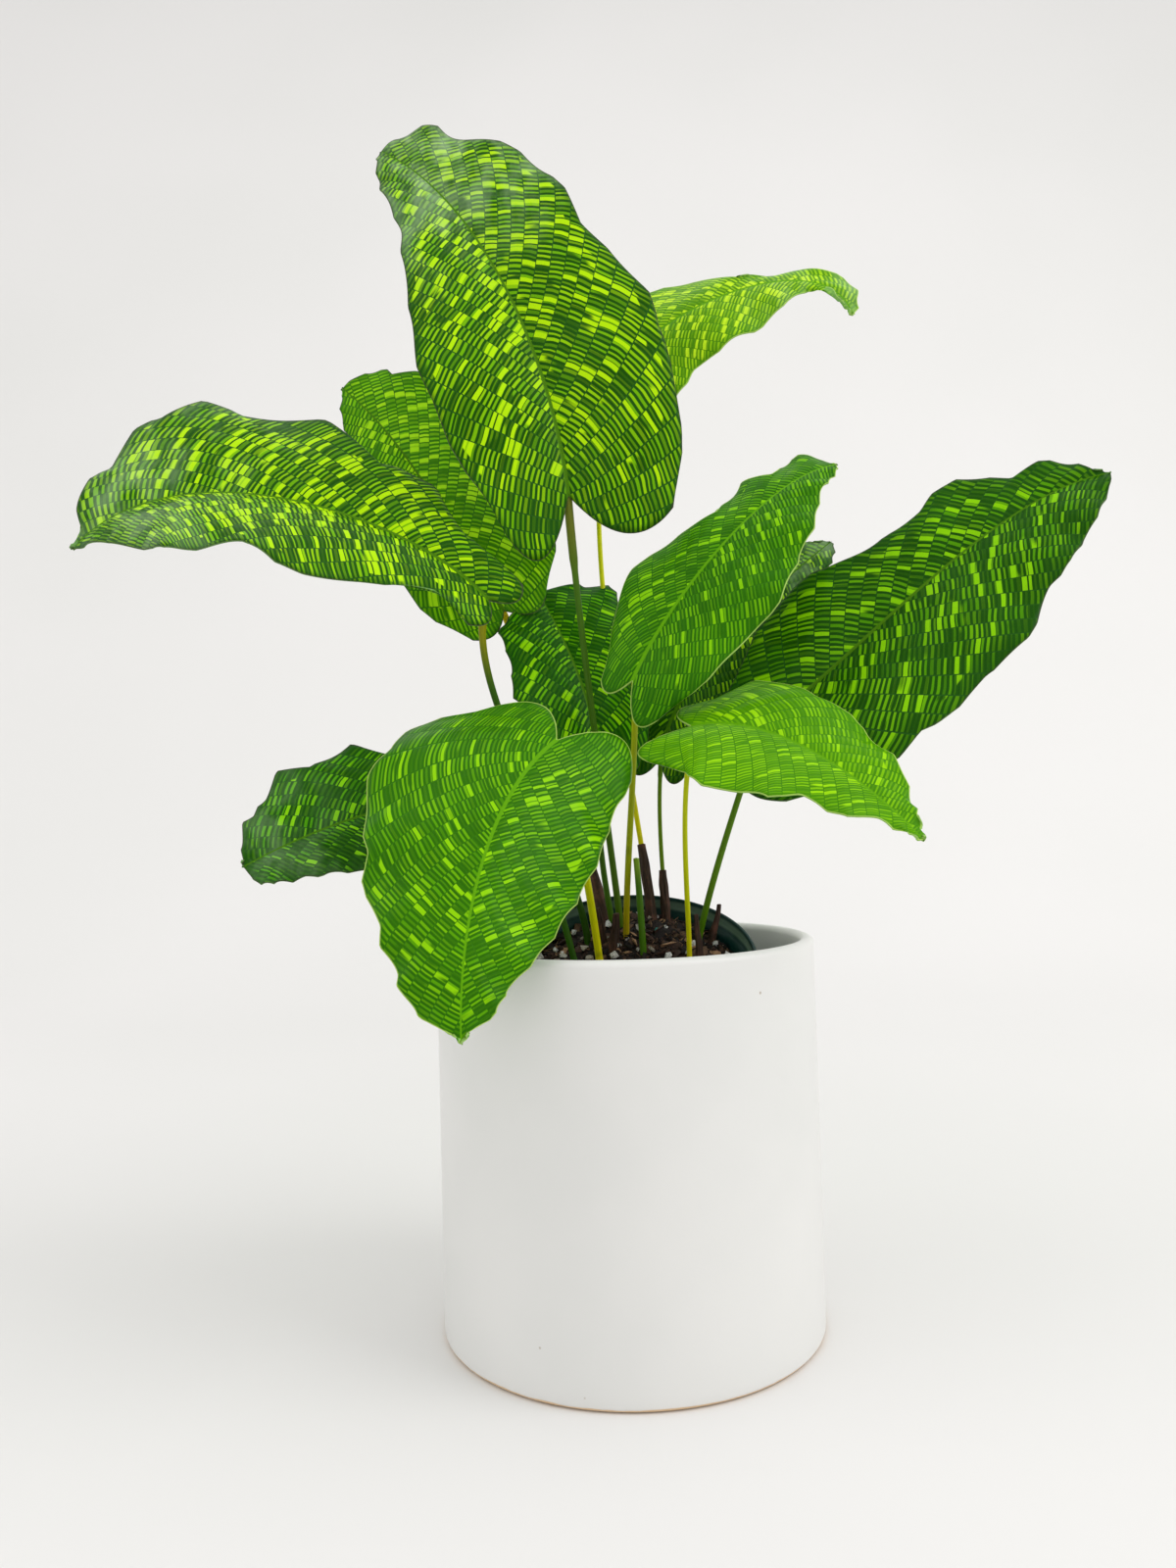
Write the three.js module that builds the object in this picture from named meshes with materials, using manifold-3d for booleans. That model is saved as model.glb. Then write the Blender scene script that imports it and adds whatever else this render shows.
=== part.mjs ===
// A potted calathea musaica: eleven leaves on long petioles in a tilted nursery pot, inside a straight
// ceramic cylinder planter. Millimetres, Z up, origin at the centre of the planter's underside.
import * as THREE from "three";
import { mergeVertices } from "three/addons/utils/BufferGeometryUtils.js";
import Module from "manifold-3d";

const wasm = await Module();
wasm.setup();

const gap = 0.3; // clearance between pieces that touch
const mergeDistance = 1e-4; // points closer than this are one point

// The lip is a half ellipse over the wall, and the foot and the inner corner are quarter rounds.
const planter = {
  radius: 76,
  height: 152,
  wall: 5.5,
  floor: 8,
  lip: 2.6,
  toe: 2,
  innerCorner: 4,
  sides: 48,
};

// The grow pot leans back on the planter's wall and its front edge stands on the riser.
const growPot = {
  rimRadius: 50,
  lipWall: 1.5,
  lipHeight: 8,
  step: 1.5,
  baseRadius: 36.5,
  height: 88,
  wall: 1.5,
  chamfer: 1.5,
  tilt: 24.9,
  rimCentre: [4, -0.2, 145.3],
  drainHoles: 6,
  drainRadius: 3.5,
  drainRing: 22.5,
  drainSides: 8,
  sides: 40,
};

const riser = { radius: 38, chamfer: 2, sides: 28 };

// The mix lies below the rim and is mounded round the crown. Crown and bumps are in the pot's own plane.
const soil = {
  depth: 10.5,
  clearance: 0.9,
  mound: 7.5,
  moundAt: [2, 26],
  moundSpread: 15,
  bump: 0.7,
  rings: 9,
  sides: 40,
};

const blade = {
  thickness: 0.8,
  ribThickness: 2,
  rows: 20,
  columns: 4,
  camber: 0.05, // rise of each half between rib and edge, as a share of its width
  ribCrowding: 1.5, // rows lie closer towards the tip: a power for their places on the rib
  edgeCrowding: 2, // and one for their places on the edge
  edgeStart: 0.55, // how far behind the base the edge starts, as a share of the lobe
  lobeBend: 1.3, // how far the first rows bow back into the lobe
  veinBend: 0.08, // how far every row bows back, as a share of the width
  waveSpread: 0.4, // how far the wave moves the edge outwards, as a share of its height
  wavePhase: 2.1, // how far the right edge's wave is ahead of the left one's
};

// Each leaf: rib is a Bezier curve from the blade's base to its tip, faces is the way its upper side
// looks at base and tip, cup is the rise of each half, lobe is how far each half reaches back past the
// base, and left and right are half widths from the base to the tip.
const leaves = {
  top: {
    rib: [[-18, 4, 336], [-23, -3, 395], [-54, 11, 470], [-99, 30, 503]],
    faces: [[0.15, -1, 0.1], [0, -1, 0.35]],
    cup: [8, 8],
    lobe: [26, 18],
    left: [28, 49, 43, 28, 19, 9],
    right: [43, 57, 46, 34, 22, 12],
    wave: [1.6, 5, 0.4],
  },
  left: {
    rib: [[-51, -8, 291], [-84, -7, 330], [-179, -17, 359], [-210, -34, 311]],
    faces: [[-0.1, -1, 0.9], [0, -1, 0.8]],
    cup: [10, 10],
    lobe: [8, 8],
    left: [16, 44, 42, 48, 32, 10],
    right: [14, 32, 45, 47, 24, 7],
    wave: [2, 4, 0],
  },
  back_left: {
    rib: [[-50, 42, 296], [-75, 44, 335], [-92, 51, 377], [-126, 60, 408]],
    faces: [[0.1, -1, 0.3], [0.1, -1, 0.4]],
    cup: [-12, 20],
    lobe: [7, 9],
    left: [19, 34, 30, 22, 14, 7],
    right: [21, 47, 50, 41, 28, 12],
    wave: [1.6, 4, 1.5],
  },
  middle: {
    rib: [[-8, 22, 226], [-12, 24, 259], [-24, 38, 284], [-35, 52, 306]],
    faces: [[0.1, -1, 0.3], [0.1, -1, 0.3]],
    cup: [14, -4],
    lobe: [8, 8],
    left: [18, 27, 29, 23, 11, 5],
    right: [18, 31, 34, 36, 27, 15],
    wave: [1.4, 4, 2],
  },
  big_right: {
    rib: [[58, 8, 236], [98, 10, 262], [157, 2, 331], [199, -12, 333]],
    faces: [[0.1, -1, 0.7], [0, -1, 0.6]],
    cup: [8, 8],
    lobe: [9, 20],
    left: [18, 40, 29, 23, 13, 5],
    right: [37, 50, 48, 37, 27, 14],
    wave: [1.8, 5, 0.8],
  },
  centre_right: {
    rib: [[6, -18, 255], [19, -20, 284], [63, -10, 339], [93, 0, 344]],
    faces: [[-0.35, -1, 0.35], [-0.3, -1, 0.5]],
    cup: [-14, 0],
    lobe: [8, 16],
    left: [15, 28, 22, 16, 11, 5],
    right: [19, 34, 34, 25, 14, 7],
    wave: [1.5, 5, 2.6],
  },
  front: {
    rib: [[-23, -42, 231], [-46, -68, 212], [-54, -98, 169], [-53, -100, 130]],
    faces: [[-0.1, -1, 1], [-0.1, -1, 0.1]],
    cup: [-36, -4],
    lobe: [24, 14],
    left: [30, 39, 36, 26, 14, 7],
    right: [34, 58, 46, 31, 20, 8],
    wave: [1.8, 6, 0],
  },
  low_right: {
    rib: [[28, -26, 236], [60, -37, 241], [91, -64, 208], [98, -92, 191]],
    faces: [[-0.1, -1, 1.3], [0.2, -1, 0.8]],
    cup: [2, -4],
    lobe: [6, 20],
    left: [14, 33, 24, 15, 8, 4],
    right: [21, 36, 29, 17, 8, 4],
    wave: [1.6, 4, 3],
  },
  far_left: {
    rib: [[-51, -8, 211], [-84, -12, 213], [-118, -21, 202], [-145, -34, 186]],
    faces: [[0, -1, 0.8], [0.1, -1, 0.7]],
    cup: [5, 5],
    lobe: [12, 12],
    left: [22, 34, 30, 24, 18, 11],
    right: [21, 28, 29, 28, 18, 9],
    wave: [1.6, 4, 1],
  },
  upper_right: {
    rib: [[-4, 53, 385], [-5, 55, 432], [102, 49, 470], [111, 41, 425]],
    faces: [[-0.15, -1, 0.6], [-0.15, -1, 0.6]],
    cup: [-8, -12],
    lobe: [6, 8],
    left: [18, 29, 17, 9, 6, 3],
    right: [19, 31, 25, 15, 8, 4],
    wave: [1.6, 5, 2],
  },
  back_right: {
    rib: [[18, 35, 226], [24, 36, 263], [71, 45, 303], [100, 53, 325]],
    faces: [[-0.3, -1, 0.4], [-0.3, -1, 0.4]],
    cup: [8, 8],
    lobe: [8, 10],
    left: [14, 30, 32, 26, 16, 7],
    right: [14, 28, 26, 19, 12, 6],
    wave: [1.5, 4, 0.6],
  },
};

// Each petiole: foot is where it leaves the mix, bends are the handles of its curve, and it ends under
// the base of its blade.
const petioles = {
  top: { foot: [-1, 25, 152], bends: [[-7, 20, 214], [-15, 13, 274]], radius: 1.4 },
  left: { foot: [-15, 22, 142], bends: [[-16, 18, 187], [-66, 4, 254]], radius: 1.45 },
  back_left: { foot: [-8, 35, 152], bends: [[-16, 44, 200], [-33, 57, 251]], radius: 1.3 },
  middle: { foot: [-4, 30, 151], bends: [[-9, 29, 177], [-11, 29, 202]], radius: 1.3 },
  big_right: { foot: [31, 20, 145], bends: [[38, 15, 176], [49, 13, 205]], radius: 1.35 },
  centre_right: { foot: [1, 19, 150], bends: [[2, 11, 186], [7, 2, 222]], radius: 1.3 },
  front: { foot: [-10, 10, 137], bends: [[-13, -2, 171], [-18, -17, 204]], radius: 1.5 },
  low_right: { foot: [27, 9, 139], bends: [[27, 1, 172], [23, -9, 206]], radius: 1.05 },
  far_left: { foot: [-20, 4, 139], bends: [[-27, 3, 171], [-34, 1, 193]], radius: 1.3 },
  upper_right: { foot: [13, 33, 153], bends: [[6, 50, 227], [-13, 58, 302]], radius: 1.15 },
  back_right: { foot: [19, 35, 153], bends: [[18, 36, 177], [16, 38, 201]], radius: 0.95 },
};
const petioleSteps = 14;
const petioleSides = 8;
const pastBase = 2; // how far a petiole reaches along its blade's rib
const buried = 16; // how deep a petiole goes into the mix
const holeSides = 10;
const holeAbove = 14; // how far the cutter of a hole stands out of the mix

// A petiole that was cut off, and dry sheaths that wrap the foot of three petioles.
const cutStub = {
  foot: [8, 11, 143],
  bends: [[7.5, 11, 156], [7, 11, 170]],
  top: [6, 11, 184],
  radius: 1.4,
  steps: 4,
};
const sheaths = {
  upper_right: { share: 0.21, wall: 0.75 },
  back_right: { share: 0.45, wall: 0.7 },
  back_left: { share: 0.26, wall: 0.7 },
};
const sheathShape = { footWall: 1.25, taper: 0.35, steps: 9, boreOver: 1 }; // walls as shares of its wall

// Loose remains of old sheaths that stand in the mix at the crown: foot, tip and foot radius.
const remains = {
  crown_left: { foot: [-9, 20, 145], tip: [-11, 15, 163], radius: 2.4 },
  crown_front: { foot: [-5, 15, 144], tip: [-3, 10, 161], radius: 2.6 },
  right_front: { foot: [31, 12, 141], tip: [30, 8, 160], radius: 1.8 },
  right_back: { foot: [37, 24, 146], tip: [41, 20, 163], radius: 1.9 },
};
const remainShape = { buriedShare: 0.5, straightShare: 0.3, taper: 0.5, steps: 5, sides: 7 };

const colours = {
  glaze: { color: 0xe9e8e4, roughness: 0.35 },
  darkPlastic: { color: 0x0d3f2c, roughness: 0.5 },
  foam: { color: 0xd9d4c4, roughness: 0.9 },
  mix: { color: 0x2b211a, roughness: 0.95 },
  matureLeaf: { color: 0x2c7a14, roughness: 0.4 },
  freshLeaf: { color: 0x5fae14, roughness: 0.4 },
  darkPetiole: { color: 0x466b12, roughness: 0.5 },
  palePetiole: { color: 0xc3cc12, roughness: 0.5 },
  drySheath: { color: 0x33241c, roughness: 0.9 },
};
const freshLeaves = ["centre_right", "front", "low_right", "upper_right"];
const palePetioles = ["centre_right", "front", "low_right", "upper_right", "back_left"];

const vector = (a) => new THREE.Vector3(...a);
const radians = THREE.MathUtils.degToRad;

// A closed solid from points and triangles.
function bodyFrom(points, triangles) {
  const body = new THREE.BufferGeometry();
  const positions = points.flatMap((p) => [p.x, p.y, p.z]);
  body.setAttribute("position", new THREE.Float32BufferAttribute(positions, 3));
  body.setIndex(triangles);
  return body;
}

function solidOf(geometry) {
  const bare = geometry.clone();
  bare.deleteAttribute("normal");
  bare.deleteAttribute("uv");
  const merged = mergeVertices(bare, mergeDistance);
  const vertProperties = new Float32Array(merged.attributes.position.array);
  const triVerts = new Uint32Array(merged.index.array);
  return new wasm.Manifold(new wasm.Mesh({ numProp: 3, vertProperties, triVerts }));
}

function geometryOf(solid) {
  const mesh = solid.getMesh();
  const geometry = new THREE.BufferGeometry();
  geometry.setAttribute("position", new THREE.BufferAttribute(new Float32Array(mesh.vertProperties), 3));
  geometry.setIndex(new THREE.BufferAttribute(new Uint32Array(mesh.triVerts), 1));
  return geometry;
}

// A profile of [radius, height] points, from the axis out and back to it, turned round Z.
function turned(profile, sides) {
  const points = profile.map(([r, z]) => new THREE.Vector2(r, z));
  return new THREE.LatheGeometry(points, sides).rotateX(Math.PI / 2);
}

// Points on an ellipse's arc, as [radius, height], with angles in degrees.
function arc([x, z], [wide, high], from, to, steps) {
  const points = [];
  for (let i = 0; i <= steps; i++) {
    const angle = radians(from + ((to - from) * i) / steps);
    points.push([x + wide * Math.cos(angle), z + high * Math.sin(angle)]);
  }
  return points;
}

// Moves a geometry from the grow pot's own frame, rim centre at the origin, to its place.
function intoPot(geometry) {
  return geometry.rotateX(radians(growPot.tilt)).translate(...growPot.rimCentre);
}

function planterBody() {
  const { radius, height, wall, floor, lip, toe, innerCorner, sides } = planter;
  const inner = radius - wall;
  const profile = [
    [0, 0],
    ...arc([radius - toe, toe], [toe, toe], -90, 0, 2),
    ...arc([radius - wall / 2, height - lip], [wall / 2, lip], 0, 180, 4),
    ...arc([inner - innerCorner, floor + innerCorner], [innerCorner, innerCorner], 0, -90, 2),
    [0, floor],
  ];
  return turned(profile, sides);
}

function potWallInside(depth) {
  const neck = growPot.rimRadius - growPot.lipWall - growPot.step;
  const slope = (neck + growPot.wall - growPot.baseRadius) / growPot.height;
  return neck - slope * depth;
}

function growPotBody() {
  const { rimRadius, lipWall, lipHeight, step, baseRadius, height, wall, chamfer } = growPot;
  const { drainHoles, drainRadius, drainRing, drainSides } = growPot;
  const shoulder = lipHeight + step;
  const outside = (depth) => potWallInside(depth) + wall;
  const profile = [
    [0, -height],
    [baseRadius - chamfer, -height],
    [outside(height - chamfer), chamfer - height],
    [outside(shoulder), -shoulder],
    [rimRadius, -lipHeight],
    [rimRadius, 0],
    [rimRadius - lipWall, 0],
    [rimRadius - lipWall, -lipHeight],
    [potWallInside(shoulder), -shoulder],
    [potWallInside(height - wall), wall - height],
    [0, wall - height],
  ];
  let pot = solidOf(turned(profile, growPot.sides));
  for (let i = 0; i < drainHoles; i++) {
    const angle = (2 * Math.PI * i) / drainHoles;
    const hole = new THREE.CylinderGeometry(drainRadius, drainRadius, 4 * wall, drainSides);
    hole.rotateX(Math.PI / 2);
    hole.translate(Math.cos(angle) * drainRing, Math.sin(angle) * drainRing, -height);
    pot = pot.subtract(solidOf(hole));
  }
  return intoPot(geometryOf(pot));
}

function riserBody() {
  const { radius, chamfer, sides } = riser;
  const low = planter.floor + gap;
  const tilt = radians(growPot.tilt);
  const flatRadius = growPot.baseRadius - growPot.chamfer;
  const lowestEdge = growPot.height * Math.cos(tilt) + flatRadius * Math.sin(tilt);
  const high = growPot.rimCentre[2] - lowestEdge - gap;
  const profile = [
    [0, low],
    [radius - chamfer, low],
    [radius, low + chamfer],
    [radius, high - chamfer],
    [radius - chamfer, high],
    [0, high],
  ];
  return turned(profile, sides);
}

// Height of the mix over the rim's plane, at a place in that plane.
function mixHeight(x, y) {
  const [crownX, crownY] = soil.moundAt;
  const distance = Math.hypot(x - crownX, y - crownY) / soil.moundSpread;
  const bumps = Math.sin(0.55 * x + 1.3 * Math.sin(0.3 * y)) * Math.cos(0.6 * y + 0.9 * Math.sin(0.35 * x));
  return soil.mound * Math.exp(-0.5 * distance * distance) - soil.depth + soil.bump * bumps;
}

// Rings of the mix's bumpy top from its centre out, then one ring at its base.
function soilBody() {
  const { rings, sides, depth, clearance } = soil;
  const edge = potWallInside(depth + clearance) - clearance;
  const baseEdge = potWallInside(growPot.height - growPot.wall) - clearance;
  const bottom = growPot.wall + gap - growPot.height;
  const points = [new THREE.Vector3(0, 0, mixHeight(0, 0))];
  for (let ring = 1; ring <= rings + 1; ring++) {
    const below = ring > rings;
    const r = below ? baseEdge : (edge * ring) / rings;
    for (let i = 0; i < sides; i++) {
      const angle = (2 * Math.PI * i) / sides;
      const x = r * Math.cos(angle);
      const y = r * Math.sin(angle);
      points.push(new THREE.Vector3(x, y, below ? bottom : mixHeight(x, y)));
    }
  }
  const triangles = [];
  const centre = points.length;
  const at = (ring, i) => 1 + (ring - 1) * sides + (i % sides);
  for (let i = 0; i < sides; i++) {
    triangles.push(0, at(1, i), at(1, i + 1));
    for (let ring = 1; ring <= rings; ring++) {
      triangles.push(at(ring, i), at(ring + 1, i), at(ring + 1, i + 1));
      triangles.push(at(ring, i), at(ring + 1, i + 1), at(ring, i + 1));
    }
    triangles.push(centre, at(rings + 1, i + 1), at(rings + 1, i));
  }
  points.push(new THREE.Vector3(0, 0, bottom));
  return intoPot(bodyFrom(points, triangles));
}

// A value between evenly spaced ones, on a smooth curve through them that ends at zero.
function smoothBetween(values, t) {
  const all = [...values, 0];
  const place = Math.min(t, 1) * (all.length - 1);
  const i = Math.min(Math.floor(place), all.length - 2);
  const f = place - i;
  const b = all[i];
  const c = all[i + 1];
  const a = i > 0 ? all[i - 1] : 2 * b - c;
  const d = i + 2 < all.length ? all[i + 2] : -b;
  return b + 0.5 * f * (c - a + f * (2 * a - 5 * b + 4 * c - d + f * (3 * (b - c) + d - a)));
}

// The rib of a leaf: its curve, and the place and directions at a distance along it.
function ribOf(leaf) {
  const curve = new THREE.CubicBezierCurve3(...leaf.rib.map(vector));
  const length = curve.getLength();
  const [faceBase, faceTip] = leaf.faces.map((f) => vector(f).normalize());
  return {
    length,
    at(distance) {
      const u = THREE.MathUtils.clamp(distance / length, 0, 1);
      const along = curve.getTangentAt(u);
      const place = curve.getPointAt(u).addScaledVector(along, distance - u * length);
      const face = faceBase.clone().lerp(faceTip, u);
      const across = along.clone().cross(face).normalize();
      return { place, along, across, face: across.clone().cross(along) };
    },
  };
}

// A point of the blade's middle surface: t runs from base to tip, s from the left edge (-1) to the
// right edge (1). Each row of points runs from the rib out to the edge as the side veins do.
function bladePoint(leaf, rib, t, s) {
  const side = s < 0 ? 0 : 1;
  const out = Math.abs(s);
  const lobe = leaf.lobe[side];
  const [amplitude, count, phase] = leaf.wave;
  const wave = Math.sin(2 * Math.PI * count * t + phase + blade.wavePhase * side);
  const width = smoothBetween(side ? leaf.right : leaf.left, t);
  const ribAt = rib.length * (1 - (1 - t) ** blade.ribCrowding);
  const edgeStart = -blade.edgeStart * lobe;
  const edgeAt = edgeStart + (rib.length - edgeStart) * (1 - (1 - t) ** blade.edgeCrowding);
  const bend = (ribAt + edgeAt) / 2 - blade.lobeBend * lobe * (1 - t) ** 4 - blade.veinBend * width;
  const alongRib = (1 - out) ** 2 * ribAt + 2 * out * (1 - out) * bend + out * out * edgeAt;
  const outward = out * (width + blade.waveSpread * amplitude * wave * (1 - t) * out);
  const { place, across, face } = rib.at(alongRib);
  const cup = radians(leaf.cup[side]);
  const rise = outward * Math.sin(cup) + blade.camber * width * Math.sin(Math.PI * out);
  place.addScaledVector(across, Math.sign(s) * outward * Math.cos(cup));
  place.addScaledVector(face, rise + amplitude * wave * out * out * (1 - t ** 4));
  return place;
}

// Both faces of a blade on one net of rows and columns, closed round the edge. The rib stands out below.
function bladeBody(leaf) {
  const rib = ribOf(leaf);
  const { rows, columns, thickness, ribThickness } = blade;
  const across = 2 * columns + 1;
  const net = [];
  for (let row = 0; row < rows; row++) {
    for (let column = 0; column < across; column++) {
      net.push(bladePoint(leaf, rib, row / rows, (column - columns) / columns));
    }
  }
  net.push(bladePoint(leaf, rib, 1, 0));
  const tip = net.length - 1;
  const triangles = [];
  for (let row = 0; row < rows - 1; row++) {
    for (let column = 0; column < across - 1; column++) {
      const a = row * across + column;
      const b = a + 1;
      const c = a + across;
      const d = c + 1;
      if (column < columns) triangles.push(a, b, c, b, d, c);
      else triangles.push(a, b, d, a, d, c);
    }
  }
  for (let column = 0; column < across - 1; column++) {
    const a = (rows - 1) * across + column;
    triangles.push(a, a + 1, tip);
  }
  const normals = bodyFrom(net, triangles);
  normals.computeVertexNormals();
  const normal = new THREE.Vector3();
  const upper = [];
  const lower = [];
  net.forEach((point, i) => {
    normal.fromBufferAttribute(normals.attributes.normal, i);
    const onRib = i === tip || i % across === columns;
    const left = 1 - Math.floor(i / across) / rows;
    const below = onRib ? thickness + (ribThickness - thickness) * left : thickness;
    upper.push(point.clone().addScaledVector(normal, thickness / 2));
    lower.push(point.clone().addScaledVector(normal, thickness / 2 - below));
  });
  const count = net.length;
  const closed = [...triangles];
  for (let i = 0; i < triangles.length; i += 3) {
    closed.push(triangles[i] + count, triangles[i + 2] + count, triangles[i + 1] + count);
  }
  const edge = [];
  for (let column = 0; column < across; column++) edge.push(column);
  for (let row = 1; row < rows; row++) edge.push(row * across + across - 1);
  edge.push(tip);
  for (let row = rows - 1; row > 0; row--) edge.push(row * across);
  edge.forEach((a, i) => {
    const b = edge[(i + 1) % edge.length];
    closed.push(a, a + count, b, b, a + count, b + count);
  });
  return bodyFrom([...upper, ...lower], closed);
}

// A rod of changing radius along a curve: a closed cylinder whose rings are moved onto the curve.
function rodAlong(curve, radiusAt, steps, sides) {
  const rod = new THREE.CylinderGeometry(1, 1, 1, sides, steps);
  rod.deleteAttribute("normal");
  rod.deleteAttribute("uv");
  const frames = curve.computeFrenetFrames(steps, false);
  const position = rod.attributes.position;
  for (let i = 0; i < position.count; i++) {
    const step = Math.round((position.getY(i) + 0.5) * steps);
    const radius = radiusAt(step / steps);
    const place = curve.getPointAt(step / steps);
    place.addScaledVector(frames.normals[step], position.getX(i) * radius);
    place.addScaledVector(frames.binormals[step], -position.getZ(i) * radius);
    position.setXYZ(i, place.x, place.y, place.z);
  }
  return mergeVertices(rod, mergeDistance);
}

// The curve of a petiole: straight down in the mix, and up to the underside of its blade's base.
function petioleCurve(name) {
  const { foot, bends, radius } = petioles[name];
  const { place, face } = ribOf(leaves[name]).at(pastBase);
  const under = blade.ribThickness - blade.thickness / 2 + gap + radius;
  return rootedCurve(foot, bends, place.addScaledVector(face, -under));
}

function rootedCurve(foot, bends, end) {
  const [start, first, second] = [foot, ...bends].map(vector);
  const deep = start.clone().addScaledVector(first.clone().sub(start).normalize(), -buried);
  const path = new THREE.CurvePath();
  path.add(new THREE.LineCurve3(deep, start));
  path.add(new THREE.CubicBezierCurve3(start, first, second, end));
  return path;
}

// A part of a curve, from its start to a share of its length.
function startOf(curve, share, steps) {
  const points = [];
  for (let i = 0; i < steps; i++) points.push(curve.getPointAt((share * i) / (steps - 1)));
  return new THREE.CatmullRomCurve3(points);
}

// The radius of a bore whose flat sides clear a round rod.
function boreRound(radius) {
  return (radius + gap) / Math.cos(Math.PI / holeSides);
}

// The plain hole in the mix that a rooted piece stands in.
function holeFor(curve, radius) {
  const deep = curve.getPointAt(0);
  const around = boreRound(radius);
  const hole = new THREE.CylinderGeometry(around + gap, around, buried + holeAbove + gap, holeSides);
  hole.translate(0, (buried + holeAbove - gap) / 2, 0);
  const up = new THREE.Vector3(0, 1, 0);
  hole.applyQuaternion(new THREE.Quaternion().setFromUnitVectors(up, curve.getTangentAt(0)));
  return solidOf(hole.translate(deep.x, deep.y, deep.z));
}

function sheathBody(curve, stemRadius, { share, wall }) {
  const { footWall, taper, steps, boreOver } = sheathShape;
  const short = startOf(curve, share, steps);
  const around = boreRound(stemRadius);
  const outer = rodAlong(short, (t) => around + wall * (footWall - taper * t), steps, holeSides);
  const longer = new THREE.CatmullRomCurve3([
    short.getPointAt(0).addScaledVector(short.getTangentAt(0), -boreOver),
    ...short.points.slice(1, -1),
    short.getPointAt(1).addScaledVector(short.getTangentAt(1), boreOver),
  ]);
  const bore = rodAlong(longer, () => around, steps, holeSides);
  return geometryOf(solidOf(outer).subtract(solidOf(bore)));
}

function remainBody({ foot, tip, radius }) {
  const { buriedShare, straightShare, taper, steps, sides } = remainShape;
  const start = vector(foot);
  const end = vector(tip);
  const curve = new THREE.CatmullRomCurve3([start.clone().lerp(end, -buriedShare), start, end]);
  const radiusAt = (t) => radius * (1 - taper * Math.max(0, t - straightShare));
  return { curve, body: rodAlong(curve, radiusAt, steps, sides) };
}

const plant = new THREE.Group();

function addPiece(name, geometry, finish) {
  const mesh = new THREE.Mesh(geometry, new THREE.MeshStandardMaterial({ metalness: 0, ...finish }));
  mesh.name = name;
  plant.add(mesh);
}

addPiece("planter", planterBody(), colours.glaze);
addPiece("riser", riserBody(), colours.foam);
addPiece("grow_pot", growPotBody(), colours.darkPlastic);

const holes = [];
for (const [name, leaf] of Object.entries(leaves)) {
  const { radius } = petioles[name];
  const curve = petioleCurve(name);
  const leafColour = freshLeaves.includes(name) ? colours.freshLeaf : colours.matureLeaf;
  const petioleColour = palePetioles.includes(name) ? colours.palePetiole : colours.darkPetiole;
  addPiece("leaf_" + name, bladeBody(leaf), leafColour);
  addPiece("petiole_" + name, rodAlong(curve, () => radius, petioleSteps, petioleSides), petioleColour);
  const sheath = sheaths[name];
  if (sheath) addPiece("sheath_" + name, sheathBody(curve, radius, sheath), colours.drySheath);
  holes.push(holeFor(curve, radius + (sheath ? gap + sheathShape.footWall * sheath.wall : 0)));
}

const stubCurve = rootedCurve(cutStub.foot, cutStub.bends, vector(cutStub.top));
const stubBody = rodAlong(stubCurve, () => cutStub.radius, cutStub.steps, petioleSides);
addPiece("petiole_cut_stub", stubBody, colours.darkPetiole);
holes.push(holeFor(stubCurve, cutStub.radius));

for (const [name, remain] of Object.entries(remains)) {
  const { curve, body } = remainBody(remain);
  addPiece("dry_sheath_" + name, body, colours.drySheath);
  holes.push(holeFor(curve, remain.radius));
}

const mix = holes.reduce((solid, hole) => solid.subtract(hole), solidOf(soilBody()));
addPiece("potting_mix", geometryOf(mix), colours.mix);

export default plant;
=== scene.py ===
import math
import random
import time
from collections import namedtuple
from functools import cache, partial
from types import SimpleNamespace

import bmesh
import bpy
from mathutils import Matrix, Vector, kdtree, noise


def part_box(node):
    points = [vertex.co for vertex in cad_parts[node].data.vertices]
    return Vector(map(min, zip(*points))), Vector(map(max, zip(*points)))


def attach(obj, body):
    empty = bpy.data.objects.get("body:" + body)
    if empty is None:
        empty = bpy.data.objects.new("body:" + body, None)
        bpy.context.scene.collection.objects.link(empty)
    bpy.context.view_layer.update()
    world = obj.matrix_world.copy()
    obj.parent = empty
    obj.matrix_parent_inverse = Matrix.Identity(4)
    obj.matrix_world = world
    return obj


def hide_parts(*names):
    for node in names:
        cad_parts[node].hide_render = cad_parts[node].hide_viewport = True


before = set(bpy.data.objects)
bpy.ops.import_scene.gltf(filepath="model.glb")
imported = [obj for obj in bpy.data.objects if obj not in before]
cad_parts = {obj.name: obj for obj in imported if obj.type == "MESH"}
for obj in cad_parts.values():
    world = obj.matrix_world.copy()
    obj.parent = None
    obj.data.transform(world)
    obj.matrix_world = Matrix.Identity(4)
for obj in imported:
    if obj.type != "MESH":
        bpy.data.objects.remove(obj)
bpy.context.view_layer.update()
started = time.time()
mm = 0.001
bpy.context.scene.view_settings.view_transform = "Standard"


def report(stage):
    print(f"{stage}: {time.time() - started:.1f} s")


def clamp(value, low=0.0, high=1.0):
    return max(low, min(high, value))


def ease(low, high, value):
    share = clamp((value - low) / (high - low))
    return share * share * (3 - 2 * share)


def mixed(a, b, share):
    return a + (b - a) * share


def lengthsAlong(points):
    travelled = [0]
    for start, end in zip(points, points[1:]):
        travelled.append(travelled[-1] + math.dist(start, end))
    return travelled


def bezier(points, steps):
    a, b, c, d = (Vector(point) for point in points)
    shares = [i / steps for i in range(steps + 1)]
    return [a * (1 - u) ** 3 + b * 3 * u * (1 - u) ** 2 + c * 3 * u * u * (1 - u) + d * u**3 for u in shares]


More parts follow.
